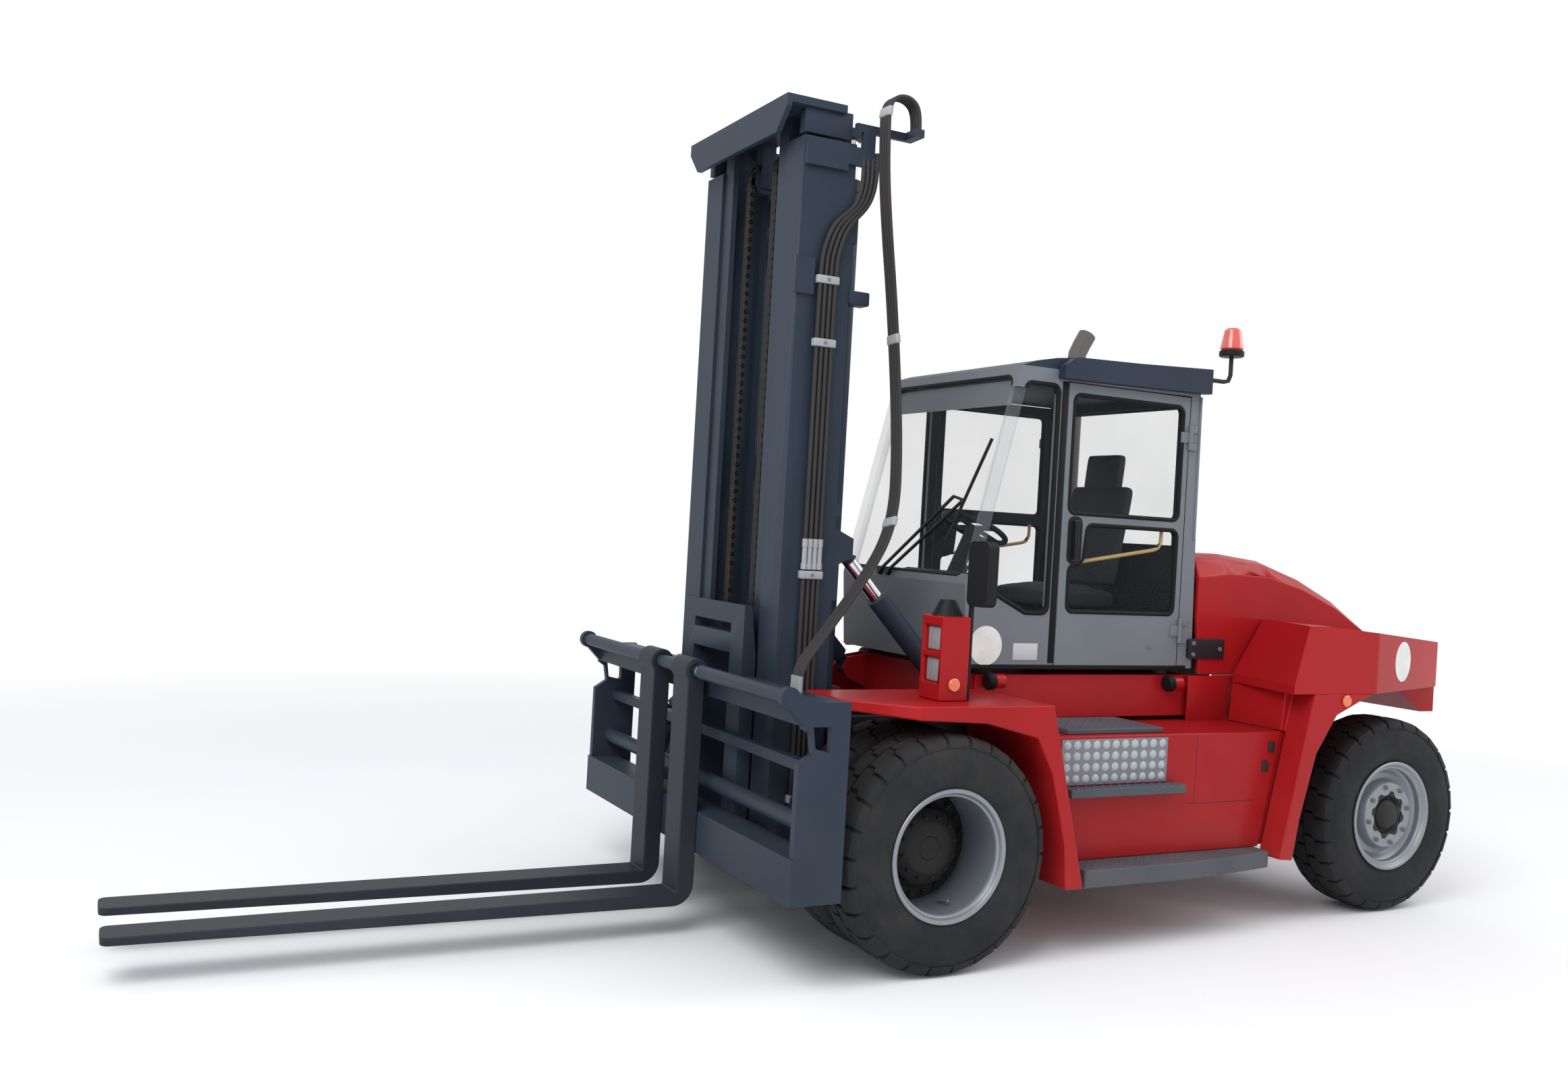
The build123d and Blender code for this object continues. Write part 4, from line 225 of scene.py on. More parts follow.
def paint(name, colour, chipped, roughness, coat, chips, peel, dust, metallic=0.0):
    """Sprayed machine paint: a faint cloud of tone, small chips, orange peel and dust near the ground."""
    finish, shader, place = new_finish(name, Coat_Roughness=0.2, Specular_IOR_Level=0.13, Metallic=metallic)
    cloud = noise(place, 1.3, 4.0)
    speck = noise(place, 38.0, 5.0, 0.7)
    height = place.node("ShaderNodeSeparateXYZ", {}, {0: place}, out=2)
    low = (1.0 - height.within(0.15, 1.25)) * cloud.within(0.32, 0.72) * dust
    chip = speck.within(0.735, 0.75) * cloud.within(0.42, 0.62) * chips
    deep = tuple(0.80 * part for part in colour[:3]) + (1.0,)
    tone = cloud.within(0.30, 0.70).blend(deep, colour)
    tone = chip.blend(tone, chipped)
    tone = low.blend(tone, srgb(112, 104, 96))
    feed(shader, Base_Color=tone, Roughness=cloud * 0.12 + low * 0.35 + chip * 0.2 + (roughness - 0.06),
         Coat_Weight=(1.0 - low) * coat)
    bump = place.node("ShaderNodeBump", {}, {"Strength": 0.10, "Distance": 0.001,
                                             "Height": noise(place, peel, 2.0) - chip})
    feed(shader, Normal=bump)
    return finish


SAME_PLACE = 2e-5
CORNER_ANGLE = math.radians(28)


def dressed(node_name, finish, slot, edge=0.004, steps=2):
    """A CAD piece with its edges broken, as a grinder and the paint leave them."""
    node = frame["nodes"][node_name]
    shape = bmesh.new()
    shape.from_mesh(node.data)
    bmesh.ops.remove_doubles(shape, verts=shape.verts, dist=SAME_PLACE)
    bmesh.ops.dissolve_limit(shape, angle_limit=math.radians(0.8), verts=shape.verts, edges=shape.edges)
    mesh = bpy.data.meshes.new(node_name + "_finished")
    shape.to_mesh(mesh)
    shape.free()
    mesh.shade_smooth()
    mesh.set_sharp_from_angle(angle=CORNER_ANGLE)
    raw = bpy.data.objects.new(node_name + "_raw", mesh)
    scene.collection.objects.link(raw)
    bevel = raw.modifiers.new("broken_edges", "BEVEL")
    bevel.width, bevel.segments, bevel.limit_method = edge, steps, "ANGLE"
    bevel.angle_limit = CORNER_ANGLE
    bevel.harden_normals = True
    bevel.miter_outer = "MITER_ARC"
    return settle(raw, node_name + "_finished", node["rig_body"], finish, slot, node_name)


def settle(raw, name, body, finish, slot, *nodes):
    """A made object as one plain mesh with its place in it, riding on a body."""
    bpy.context.view_layer.update()
    depsgraph = bpy.context.evaluated_depsgraph_get()
    mesh = bpy.data.meshes.new_from_object(raw.evaluated_get(depsgraph), depsgraph=depsgraph)
    mesh.transform(raw.matrix_world)
    mesh.name = name
    piece = bpy.data.objects.new(name, mesh)
    scene.collection.objects.link(piece)
    bpy.data.objects.remove(raw)
    if finish:
        mesh.materials.clear()
        mesh.materials.append(finish)
    if body:
        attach(piece, body)
    if nodes:
        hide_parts(*nodes)
    return piece


black_paint = paint("black_paint", srgb(40, 41, 43), srgb(92, 88, 84), 0.48, 0.1, 0.5, 420.0, 0.7)
for node_name in ("frame", "drive_axle", "steer_axle", "engine"):
    dressed(node_name, black_paint, "black_paint", 0.005)
for node_name in ("knuckle_left", "knuckle_right"):
    dressed(node_name, black_paint, "black_paint", 0.003)


# Wheels: 12.00-20 truck tyres with block lugs on silver steel rims; the front pair shares one deep
# barrel that is bolted to a black planetary hub, the rear rim is dished round the steer hub.
def circle(radius, count):
    """Evenly spaced points round a circle."""
    return [(radius * math.cos(math.tau * k / count), radius * math.sin(math.tau * k / count))
            for k in range(count)]


def turned(name, profile, y, z, body, finish, slot, nodes=(), steps=96):
    """A closed ring about a line along X, from (x, radius) points."""
    shape = bmesh.new()
    rows = []
    for x, radius in profile:
        if radius < 1e-6:
            rows.append([shape.verts.new((x, y, z))] * steps)
        else:
            rows.append([shape.verts.new((x, y + across, z + rise))
                         for across, rise in circle(radius, steps)])
    for first, second in zip(rows, rows[1:] + rows[:1]):
        for step in range(steps):
            ring = [first[step], first[step - 1], second[step - 1], second[step]]
            corners = list(dict.fromkeys(ring))
            if len(corners) > 2:
                shape.faces.new(corners)
    return finished(shape, name, body, finish, slot, nodes)


def skin(shape, loops, open_start=False):
    """Walls from each loop of points to the next, closed at the last and, unless left open, at the first."""
    for first, second in zip(loops, loops[1:]):
        for k in range(len(first)):
            shape.faces.new((first[k - 1], first[k], second[k], second[k - 1]))
    if not open_start:
        shape.faces.new(loops[0])
    shape.faces.new(loops[-1])


def rough_piece(name, shape, angle=30):
    """A made shape with outward faces, as an object that goes once it is copied or settled."""
    bmesh.ops.recalc_face_normals(shape, faces=shape.faces)
    mesh = bpy.data.meshes.new(name)
    shape.to_mesh(mesh)
    shape.free()
    mesh.shade_smooth()
    mesh.set_sharp_from_angle(angle=math.radians(angle))
    rough = bpy.data.objects.new(name, mesh)
    scene.collection.objects.link(rough)
    return rough


def finished(shape, name, body, finish, slot, nodes=()):
    """A made shape as a piece that rides on a body."""
    return settle(rough_piece(name + "_raw", shape, 32), name, body, finish, slot, *nodes)


def node_tree(name, inputs):
    """An empty Geometry Nodes tree, its named inputs and its way out."""
    tree = bpy.data.node_groups.new(name, "GeometryNodeTree")
    for label, kind in inputs:
        tree.interface.new_socket(label, in_out="INPUT", socket_type="NodeSocket" + kind)
    tree.interface.new_socket("Geometry", in_out="OUTPUT", socket_type="NodeSocketGeometry")
    way_in, way_out = tree.nodes.new("NodeGroupInput"), tree.nodes.new("NodeGroupOutput")
    return tree, {label: Wire(tree, way_in.outputs[label]) for label, _ in inputs}, way_out


def placed(tree, way_out, points, piece, turn, finish):
    """Copies of a piece at points, made real, in one finish."""
    shape = points.node("GeometryNodeObjectInfo", {}, {"Object": piece}, out="Geometry")
    copies = points.node("GeometryNodeInstanceOnPoints", {}, {"Points": points, "Instance": shape,
                                                              "Rotation": turn})
    real = copies.node("GeometryNodeRealizeInstances", {}, {"Geometry": copies})
    dressed_up = real.node("GeometryNodeSetMaterial", {}, {"Geometry": real, "Material": finish})
    tree.links.new(dressed_up.socket, way_out.inputs[0])


ring_of_pieces, given, way_out = node_tree("ring_of_pieces", [("Piece", "Object"), ("Count", "Int"),
                                                              ("Centre", "Vector"), ("First angle", "Float"),
                                                              ("Finish", "Material")])
line = given["Count"].node("GeometryNodeMeshLine", {}, {"Count": given["Count"],
                                                        "Start Location": given["Centre"],
                                                        "Offset": (0.0, 0.0, 0.0)})
step = line.node("GeometryNodeInputIndex", {}, {})
angle = step * line.maths("DIVIDE", 2 * math.pi, given["Count"]) + given["First angle"]
turn = angle.node("FunctionNodeEulerToRotation", {}, {0: angle.node("ShaderNodeCombineXYZ", {}, {0: angle})})
placed(ring_of_pieces, way_out, line, given["Piece"], turn, given["Finish"])


def repeated(tree, name, body, slot, piece, values, nodes=()):
    """The meshes that a tree makes of a small shape, as one piece that rides on a body."""
    holder = bpy.data.objects.new(name + "_raw", bpy.data.meshes.new(name + "_raw"))
    scene.collection.objects.link(holder)
    modifier = holder.modifiers.new("copies", "NODES")
    modifier.node_group = tree
    for item in tree.interface.items_tree:
        if item.in_out == "INPUT":
            modifier[item.identifier] = piece if item.name == "Piece" else values[item.name]
    return settle(holder, name, body, None, slot, *nodes)


tyre_rubber, shader, place = new_finish("tyre_rubber", Coat_Weight=0.0, Specular_IOR_Level=0.2)
grain, smear = noise(place, 220.0, 3.0), noise(place, 3.0, 5.0, 0.65)
feed(shader, Base_Color=smear.within(0.42, 0.80).blend(srgb(34, 35, 37), srgb(56, 55, 54)),
     Roughness=smear * 0.2 + 0.62,
     Normal=place.node("ShaderNodeBump", {}, {"Strength": 0.25, "Distance": 0.001, "Height": grain}))
rim_paint = paint("rim_paint", srgb(152, 157, 164), srgb(96, 92, 88), 0.40, 0.10, 0.6, 320.0, 0.30,
                  metallic=0.6)
# The front barrel is the same silver steel as its flange, painted darker grey as painted shade inside the
# deep barrel.
barrel_paint = paint("barrel_paint", srgb(104, 109, 117), srgb(80, 78, 76), 0.42, 0.05, 0.5, 320.0, 0.2)
hub_paint = paint("hub_paint", srgb(30, 31, 34), srgb(70, 68, 66), 0.46, 0.05, 0.6, 320.0, 0.35)
nut_steel = paint("nut_steel", srgb(120, 122, 126), srgb(88, 80, 72), 0.38, 0.0, 0.4, 300.0, 0.3)

TYRE_R = 0.565
CASING = [(0.130, 0.300), (0.141, 0.318), (0.1455, 0.330), (0.1475, 0.334), (0.1530, 0.352), (0.1545, 0.372),
          (0.1560, 0.376), (0.1570, 0.400), (0.1572, 0.440), (0.1545, 0.478), (0.1530, 0.482),
          (0.1475, 0.508), (0.139, 0.528), (0.118, 0.539), (0.060, 0.544), (0.0, 0.545)]
CASING = CASING + [(-x, radius) for x, radius in reversed(CASING[:-1])]
LUG_STATIONS = ((0.006, 0.565, 0.000), (0.056, 0.5645, 0.000), (0.074, 0.564, 0.050), (0.112, 0.561, 0.050),
                (0.136, 0.549, 0.056), (0.150, 0.522, 0.060))
LUG_COUNT = 26
LUG_HALF = 0.106
LUG_ROOT = 0.512


def lug(row):
    """One block of the tread: stepped across its row, falling away at the shoulder."""
    shape = bmesh.new()
    loops = []
    for x, top, skew in LUG_STATIONS:
        loop = []
        for radius, half in ((LUG_ROOT, LUG_HALF + 0.016), (top - 0.004, LUG_HALF), (top, LUG_HALF - 0.008)):
            for side in (-1, 1):
                turned_by = row * skew + side * half
                loop.append(shape.verts.new((row * x, radius * math.cos(turned_by),
                                             radius * math.sin(turned_by))))
        loops.append([loop[index] for index in (0, 2, 4, 5, 3, 1)])
    for first, second in zip(loops, loops[1:]):
        for index in range(5):
            shape.faces.new((first[index], first[index + 1], second[index + 1], second[index]))
    shape.faces.new(loops[0])
    shape.faces.new(loops[-1])
    return rough_piece("lug", shape)


def hexagon_nut(x0, x1, out, radius):
    """A wheel nut with its stud end, standing off a ring."""
    shape = bmesh.new()
    stations = ((x0, radius), (x1, radius), (x1, radius * 0.5), (x1 + (x1 - x0) * 0.5, radius * 0.5))
    skin(shape, [[shape.verts.new((x, out + across, rise)) for across, rise in circle(size, 6)]
                 for x, size in stations], open_start=True)
    return rough_piece("nut", shape)


def wheel_nuts(name, centre, x0, x1, out, radius, count, body, finish):
    nut = hexagon_nut(x0, x1, out, radius)
    repeated(ring_of_pieces, name, body, "black_paint", nut,
             {"Count": count, "Centre": centre, "First angle": FIRST_NUT, "Finish": finish})
    bpy.data.objects.remove(nut)


def truck_tyre(name, x, y, body, nodes, start):
    turned(name + "_casing", [(x + across, radius) for across, radius in CASING], y, TYRE_R, body,
           tyre_rubber, "tyre", nodes, steps=104)
    for row, first in ((1, start), (-1, start + math.pi / LUG_COUNT)):
        block = lug(row)
        repeated(ring_of_pieces, f"{name}_lugs_{'outer' if row * x > 0 else 'inner'}", body, "tyre", block,
                 {"Count": LUG_COUNT, "Centre": (x, y, TYRE_R), "First angle": first, "Finish": tyre_rubber})
        bpy.data.objects.remove(block)


rear_y = sum(corner.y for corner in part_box("rear_left_rim")) / 2
FRONT_FLANGE = [(1.243, 0.2997), (1.244, 0.309), (1.248, 0.3155), (1.254, 0.317), (1.258, 0.314),
                (1.258, 0.304), (1.255, 0.297), (1.246, 0.291), (1.240, 0.290), (1.234, 0.285),
                (1.232, 0.279), (1.224, 0.276), (1.216, 0.2755), (1.216, 0.2997)]
FRONT_BARREL = [(1.216, 0.2997), (1.216, 0.2757), (1.180, 0.274), (0.990, 0.272), (0.930, 0.272),
                (0.640, 0.274), (0.6185, 0.284), (0.6185, 0.2997)]
FRONT_HUB = [(0.945, 0.091), (0.945, 0.271), (0.967, 0.271), (0.972, 0.262), (0.974, 0.215), (0.986, 0.198),
             (0.992, 0.186), (1.040, 0.184), (1.047, 0.178), (1.060, 0.158), (1.080, 0.128), (1.085, 0.118),
             (1.085, 0.060), (1.078, 0.052), (1.078, 0.0), (1.045, 0.0), (1.045, 0.091)]
REAR_BARREL = [(1.064, 0.2997), (1.065, 0.310), (1.069, 0.316), (1.075, 0.317), (1.079, 0.313),
               (1.079, 0.303), (1.075, 0.297), (1.066, 0.292), (1.058, 0.286), (1.055, 0.277), (1.048, 0.272),
               (0.985, 0.270), (0.790, 0.272), (0.7725, 0.284), (0.7725, 0.2997)]
REAR_DISC = [(1.018, 0.271), (1.008, 0.258), (0.994, 0.250), (0.984, 0.236), (0.984, 0.218), (0.990, 0.206),
             (1.010, 0.197), (1.040, 0.193), (1.0465, 0.188), (1.0475, 0.180), (1.0475, 0.118),
             (0.9625, 0.118), (0.9625, 0.230), (0.975, 0.262), (0.990, 0.271)]
REAR_HUB = [(1.020, 0.119), (1.022, 0.092), (1.040, 0.086), (1.058, 0.070), (1.0655, 0.050), (1.0675, 0.030),
            (1.0675, 0.0), (0.980, 0.0), (0.980, 0.119)]
FRONT_RINGS = (("flange", FRONT_FLANGE, rim_paint, "rim_paint"),
               ("barrel", FRONT_BARREL, barrel_paint, "rim_paint"),
               ("hub", FRONT_HUB, hub_paint, "black_paint"))
REAR_RINGS = (("barrel", REAR_BARREL, rim_paint, "rim_paint"),
              ("disc", REAR_DISC, rim_paint, "rim_paint"),
              ("hub", REAR_HUB, hub_paint, "black_paint"))
NOTCH = [(0.112, -0.034), (0.112, 0.034), (0.140, 0.013), (0.140, -0.013)]
REAR_NUTS = 8
FIRST_NUT = 0.2
FRONT_OUTER_X, FRONT_INNER_X, REAR_X = 1.1085, 0.7685, 0.9225
SIDES = (("left", 1), ("right", -1))


def wheel_rings(axle, side, sign, y, rim, rings):
    """The turned pieces of one wheel, the first of them in place of its rim."""
    for part, profile, finish, slot in rings:
        turned(f"{axle}_{side}_{part}", [(sign * x, radius) for x, radius in profile], y, TYRE_R,
               f"{axle}_{side}_wheel", finish, slot, (rim,) if part == rings[0][0] else ())


for side, sign in SIDES:
    front_body, rear_body = f"front_{side}_wheel", f"rear_{side}_wheel"
    wheel_rings("front", side, sign, front_y, f"front_{side}_rims", FRONT_RINGS)
    wheel_nuts(f"front_{side}_nuts", (0, front_y, TYRE_R), sign * 0.967, sign * 0.987, out=0.240,
               radius=0.016, count=20, body=front_body, finish=hub_paint)
    wheel_nuts(f"front_{side}_cap_bolts", (0, front_y, TYRE_R), sign * 1.060, sign * 1.076, out=0.146,
               radius=0.010, count=12, body=front_body, finish=hub_paint)
    truck_tyre(f"front_{side}_outer_tyre", sign * FRONT_OUTER_X, front_y, front_body,
               (f"front_{side}_tyres",), 0.03)
    truck_tyre(f"front_{side}_inner_tyre", sign * FRONT_INNER_X, front_y, front_body, (), 0.11)
    wheel_rings("rear", side, sign, rear_y, f"rear_{side}_rim", REAR_RINGS)
    wheel_nuts(f"rear_{side}_nuts", (0, rear_y, TYRE_R), sign * 1.0475, sign * 1.060, out=0.166, radius=0.014,
               count=REAR_NUTS, body=rear_body, finish=nut_steel)
    # Dark plates round the rear disc's hole stand in for notches cut in it: painted shade of the cuts.
    notch = bmesh.new()
    skin(notch, [[notch.verts.new((sign * x, y, z)) for y, z in NOTCH] for x in (1.040, 1.0481)],
         open_start=True)
    notch = rough_piece("notch", notch)
    repeated(ring_of_pieces, f"rear_{side}_notches", rear_body, "black_paint", notch,
             {"Count": REAR_NUTS, "Centre": (0, rear_y, TYRE_R),
              "First angle": FIRST_NUT + math.pi / REAR_NUTS, "Finish": hub_paint})
    bpy.data.objects.remove(notch)
    truck_tyre(f"rear_{side}_tyre", sign * REAR_X, rear_y, rear_body, (f"rear_{side}_tyre",), 0.07)


# Red body: deck, tanks and fenders of folded plate in red enamel, bolted to the frame. Steps are
# pressed steel, with a quilted aluminium plate between them.
def aft(distance):
    """Y of a station this far behind the front axle."""
    return front_y + distance


def slab(name, x, y, z, body, finish, slot, edge=0.003, nodes=(), steps=2):
    """A plate or block between pairs of limits, its edges broken."""
    shape = bmesh.new()
    size = [abs(pair[1] - pair[0]) for pair in (x, y, z)]
    middle = Vector(((x[0] + x[1]) / 2, (y[0] + y[1]) / 2, (z[0] + z[1]) / 2))
    bmesh.ops.create_cube(shape, size=1.0, matrix=Matrix.Translation(middle) @ Matrix.Diagonal((*size, 1.0)))
    bmesh.ops.bevel(shape, geom=shape.edges[:], offset=min(edge, 0.45 * min(size)), segments=steps,
                    affect="EDGES", profile=0.5)
    return finished(shape, name, body, finish, slot, nodes)


def rod(name, start, end, radius, body, finish, slot, nodes=(), sides=32, end_radius=None, lip=0.0):
    """A round bar between two points, or a cone, with broken ends."""
    start, end = Vector(start), Vector(end)
    length = (end - start).length
    end_radius = radius if end_radius is None else end_radius
    shape = bmesh.new()
    rows = [(0.0, radius - lip), (lip, radius), (length - lip, end_radius), (length, end_radius - lip)]
    if lip == 0:
        rows = [rows[0], rows[3]]
    along = (end - start).to_track_quat("Z", "Y").to_matrix()
    skin(shape, [[shape.verts.new(start + along @ Vector((*spot, height))) for spot in circle(size, sides)]
                 for height, size in rows])
    return finished(shape, name, body, finish, slot, nodes)


def line_through(name, points, smooth=False):
    """A curve object along points: straight runs, or one smooth spline that they guide."""
    curve = bpy.data.curves.new(name, "CURVE")
    curve.dimensions = "3D"
    run = curve.splines.new("NURBS" if smooth else "POLY")
    run.points.add(len(points) - 1)
    for spot, point in zip(run.points, points):
        spot.co = (*point, 1.0)
    if smooth:
        run.order_u, run.use_endpoint_u, run.resolution_u = 3, True, 8
    run.use_smooth = True
    line = bpy.data.objects.new(name, curve)
    scene.collection.objects.link(line)
    return line


def tube(name, points, radius, body, finish, slot, nodes=(), cyclic=False, smooth=False, sides=5):
    """A round tube along points, through rounded corners where it is smooth."""
    raw = line_through(name + "_raw", points, smooth)
    raw.data.splines[0].use_cyclic_u = cyclic
    raw.data.bevel_depth, raw.data.bevel_resolution, raw.data.use_fill_caps = radius, sides, not cyclic
    return settle(raw, name, body, finish, slot, *nodes)


for side, sign in SIDES:
    rod(f"front_{side}_valve", (sign * 1.060, front_y + 0.070, TYRE_R - 0.262),
        (sign * 1.165, front_y + 0.062, TYRE_R - 0.232), 0.006, f"front_{side}_wheel", nut_steel, "rim_paint",
        sides=12)

red_paint = paint("red_paint", srgb(176, 28, 32), srgb(92, 40, 38), 0.38, 0.12, 0.35, 360.0, 0.16)
for node_name, edge in (("deck", 0.006), ("front_fenders", 0.010), ("rear_fenders", 0.008),
                        ("side_tanks", 0.008)):
    dressed(node_name, red_paint, "red_paint", edge, 3)

tread_steel = paint("tread_steel", srgb(88, 93, 100), srgb(130, 128, 124), 0.5, 0.0, 0.9, 260.0, 0.55)
dressed("step_treads", tread_steel, "tread_steel", 0.006)
grip_stud = bmesh.new()
bmesh.ops.create_cone(grip_stud, cap_ends=True, segments=8, radius1=0.010, radius2=0.006, depth=0.006)
grip_stud = rough_piece("grip_stud", grip_stud)
rows_of_pieces, given, way_out = node_tree("rows_of_pieces", [
    ("Piece", "Object"), ("Columns", "Int"), ("Rows", "Int"), ("First", "Vector"), ("Column step", "Vector"),
    ("Row step", "Vector"), ("Turn", "Vector"), ("Finish", "Material")])
count = given["Columns"] * given["Rows"]
line = count.node("GeometryNodeMeshLine", {}, {"Count": count, "Offset": (0.0, 0.0, 0.0)})
step = line.node("GeometryNodeInputIndex", {}, {})
column = step.maths("MODULO", step, given["Columns"])
row = step.maths("FLOOR", step.maths("DIVIDE", step + 0.01, given["Columns"]))
move = [column.node("ShaderNodeVectorMath", {"operation": "SCALE"}, {0: given[label], "Scale": number})
        for label, number in (("Column step", column), ("Row step", row))]
spot = move[0].node("ShaderNodeVectorMath", {"operation": "ADD"}, {0: move[0], 1: move[1]})
spot = spot.node("ShaderNodeVectorMath", {"operation": "ADD"}, {0: spot, 1: given["First"]})
line = line.node("GeometryNodeSetPosition", {}, {"Geometry": line, "Position": spot})
turn = line.node("FunctionNodeEulerToRotation", {}, {0: given["Turn"]})
placed(rows_of_pieces, way_out, line, given["Piece"], turn, given["Finish"])
quilted = paint("quilted_aluminium", srgb(190, 194, 198), srgb(120, 118, 114), 0.30, 0.0, 0.5, 300.0, 0.30)
# Domes and plate are one aluminium: the domes take its lit tone, the plate a darker copy that is painted
# shade in the valleys.
quilt_plate_shade = paint("quilt_shaded_plate", srgb(138, 141, 145), srgb(96, 95, 93), 0.42, 0.0, 0.5, 300.0, 0.40)
dressed("tread_plates", quilt_plate_shade, "tread_aluminium", 0.0015)
DOME_STATIONS = ((0.024, 0.0), (0.020, 0.005), (0.011, 0.009))
dome = bmesh.new()
skin(dome, [[dome.verts.new((*spot, height)) for spot in circle(size, 12)] for size, height in DOME_STATIONS],
     open_start=True)
dome = rough_piece("dome", dome, 60)
for side, sign in SIDES:
    for level, first, size in (("middle", (1.066, aft(0.835), 0.820), (13, 2)),
                               ("low", (1.015, aft(0.875), 0.440), (13, 4)),
                               ("top", (0.660, aft(0.900), 1.103), (11, 6))):
        repeated(rows_of_pieces, f"{level}_step_grips_{side}", "chassis", "tread_steel", grip_stud,
                 {"Columns": size[0], "Rows": size[1], "First": (sign * first[0], first[1], first[2] + 0.002),
                  "Column step": (0.0, 0.055, 0.0), "Row step": (sign * 0.055, 0.0, 0.0),
                  "Turn": (0.0, 0.0, 0.0), "Finish": tread_steel})
    repeated(rows_of_pieces, f"tread_domes_{side}", "chassis", "tread_aluminium", dome,
             {"Columns": 11, "Rows": 4, "First": (sign * 1.0545, aft(0.822), 0.857),
              "Column step": (0.0, 0.0635, 0.0), "Row step": (0.0, 0.0, 0.0575),
              "Turn": (0.0, sign * math.pi / 2, 0.0), "Finish": quilted})
    groove = sign * 1.0505
    slab(f"tank_seam_{side}", (groove, groove - sign * 0.01), (aft(1.7035), aft(1.7075)), (0.700, 1.060),
         "chassis", black_paint, "black_paint", 0.001)
    slab(f"tank_cover_edge_{side}", (groove, groove - sign * 0.01), (aft(1.668), aft(2.138)), (0.698, 0.702),
         "chassis", black_paint, "black_paint", 0.001)
    for number, (y, z) in enumerate(((2.258, 0.989), (2.215, 0.885)), 1):
        slab(f"tank_latch_{side}_{number}", (sign * 1.045, sign * 1.060), (aft(y - 0.022), aft(y + 0.022)),
             (z - 0.030, z + 0.030), "chassis", black_paint, "black_paint", 0.006)
    slab(f"tank_back_{side}", (sign * 0.960, sign * 1.040), (aft(2.150), aft(2.420)), (0.450, 1.070),
         "chassis", red_paint, "red_paint", 0.002)
    slab(f"bay_side_{side}", (sign * 0.626, sign * 0.634), (aft(2.026), aft(2.400)), (1.070, 1.334),
         "chassis", red_paint, "red_paint", 0.002)
for seed in (grip_stud, dome):
    bpy.data.objects.remove(seed)

# Counterweight, hood and rear grille: one iron casting behind the engine, machine painted, with a pressed
# steel hood hinged to it and slats in its air outlet. The signs on its flanks are blank discs.
dressed("counterweight", red_paint, "red_paint", 0.022, 4)
dressed("hood", red_paint, "red_paint", 0.012, 3)
dressed("rear_grille", black_paint, "black_paint", 0.002)
sign_white, shader, place = new_finish("sign_white", Roughness=0.45, Coat_Weight=0.2)
feed(shader, Base_Color=noise(place, 9.0, 4.0).within(0.3, 0.75).blend(srgb(236, 236, 233),
                                                                       srgb(214, 214, 210)))


def lens_plastic(name, deep, pale, cloud, roughness, coat):
    """Moulded lens plastic, clouded between two close tones."""
    finish, shader, place = new_finish(name, Roughness=roughness, Coat_Weight=coat)
    feed(shader, Base_Color=noise(place, cloud).within(0.3, 0.7).blend(deep, pale))
    return finish


orange_lens = lens_plastic("orange_lens", srgb(226, 104, 62), srgb(240, 132, 92), 60.0, 0.12, 0.6)
tail_red = lens_plastic("tail_red", srgb(150, 20, 22), srgb(186, 30, 32), 60.0, 0.12, 0.6)
flank = Vector((0.910, 0.300, 0.0)).normalized()
for side, sign in SIDES:
    out = Vector((sign * flank.x, flank.y, 0))
    spot = Vector((sign * 1.0815, aft(3.259), 1.471))
    rod(f"flank_sign_{side}", spot - 0.006 * out, spot + 0.0025 * out, 0.117, "chassis", sign_white,
        "red_paint", sides=64)
    slab(f"tail_lamp_{side}", (sign * 0.562, sign * 0.718), (aft(3.850), aft(3.8598)), (1.402, 1.498),
         "chassis", tail_red, "lens", 0.006)
    rod(f"rear_marker_{side}", (sign * 1.199, aft(2.655), 1.262), (sign * 1.214, aft(2.655), 1.262), 0.032,
        "chassis", orange_lens, "lens", lip=0.004)

# Lamp posts, lamps and mirrors: welded red boxes on the fenders with two lamps behind grey lenses, a black
# work lamp on top and a mirror on a bent rod behind.
dressed("lamp_posts", red_paint, "red_paint", 0.010, 3)
black_plastic = paint("black_plastic", srgb(34, 34, 36), srgb(62, 61, 60), 0.46, 0.0, 0.3, 520.0, 0.25)
dressed("mirrors", black_plastic, "black_plastic", 0.010, 3)
lamp_lens, shader, place = new_finish("lamp_lens", Coat_Weight=0.8, Coat_Roughness=0.03)
ribs = place.node("ShaderNodeTexWave", {"wave_type": "BANDS", "bands_direction": "X"},
                  {"Vector": place, "Scale": 26.0})
feed(shader, Base_Color=ribs.node("ShaderNodeMix", {"data_type": "RGBA"},
                                  {0: ribs * 0.6, 6: srgb(128, 132, 136), 7: srgb(196, 199, 202)}, out=2),
     Roughness=ribs * 0.2 + 0.12, Normal=place.node("ShaderNodeBump", {},
                                                    {"Strength": 0.4, "Distance": 0.003, "Height": ribs}))
mirror_face, shader, place = new_finish("mirror_face", Metallic=1.0)
feed(shader, Base_Color=noise(place, 4.0).within(0.3, 0.7).blend((0.80, 0.82, 0.84, 1),
                                                                 (0.86, 0.88, 0.90, 1)),
     Roughness=noise(place, 30.0) * 0.05 + 0.02)
for side, sign in SIDES:
    for number, low in enumerate((1.350, 1.500), 1):
        slab(f"front_lamp_{side}_{number}", (sign * 0.9455, sign * 1.0745), (aft(0.012), aft(0.063)),
             (low + 0.0005, low + 0.1195), "chassis", lamp_lens, "lens", 0.012, ("lamp_lenses",), 3)
    rod(f"post_marker_{side}", (sign * 1.099, aft(0.070), 1.345), (sign * 1.114, aft(0.070), 1.345), 0.032,
        "chassis", orange_lens, "lens", lip=0.004)
    slab(f"mirror_glass_{side}", (sign * 1.078, sign * 1.212), (aft(0.200), aft(0.2035)), (1.740, 2.020),
         "chassis", mirror_face, "black_plastic", 0.002)
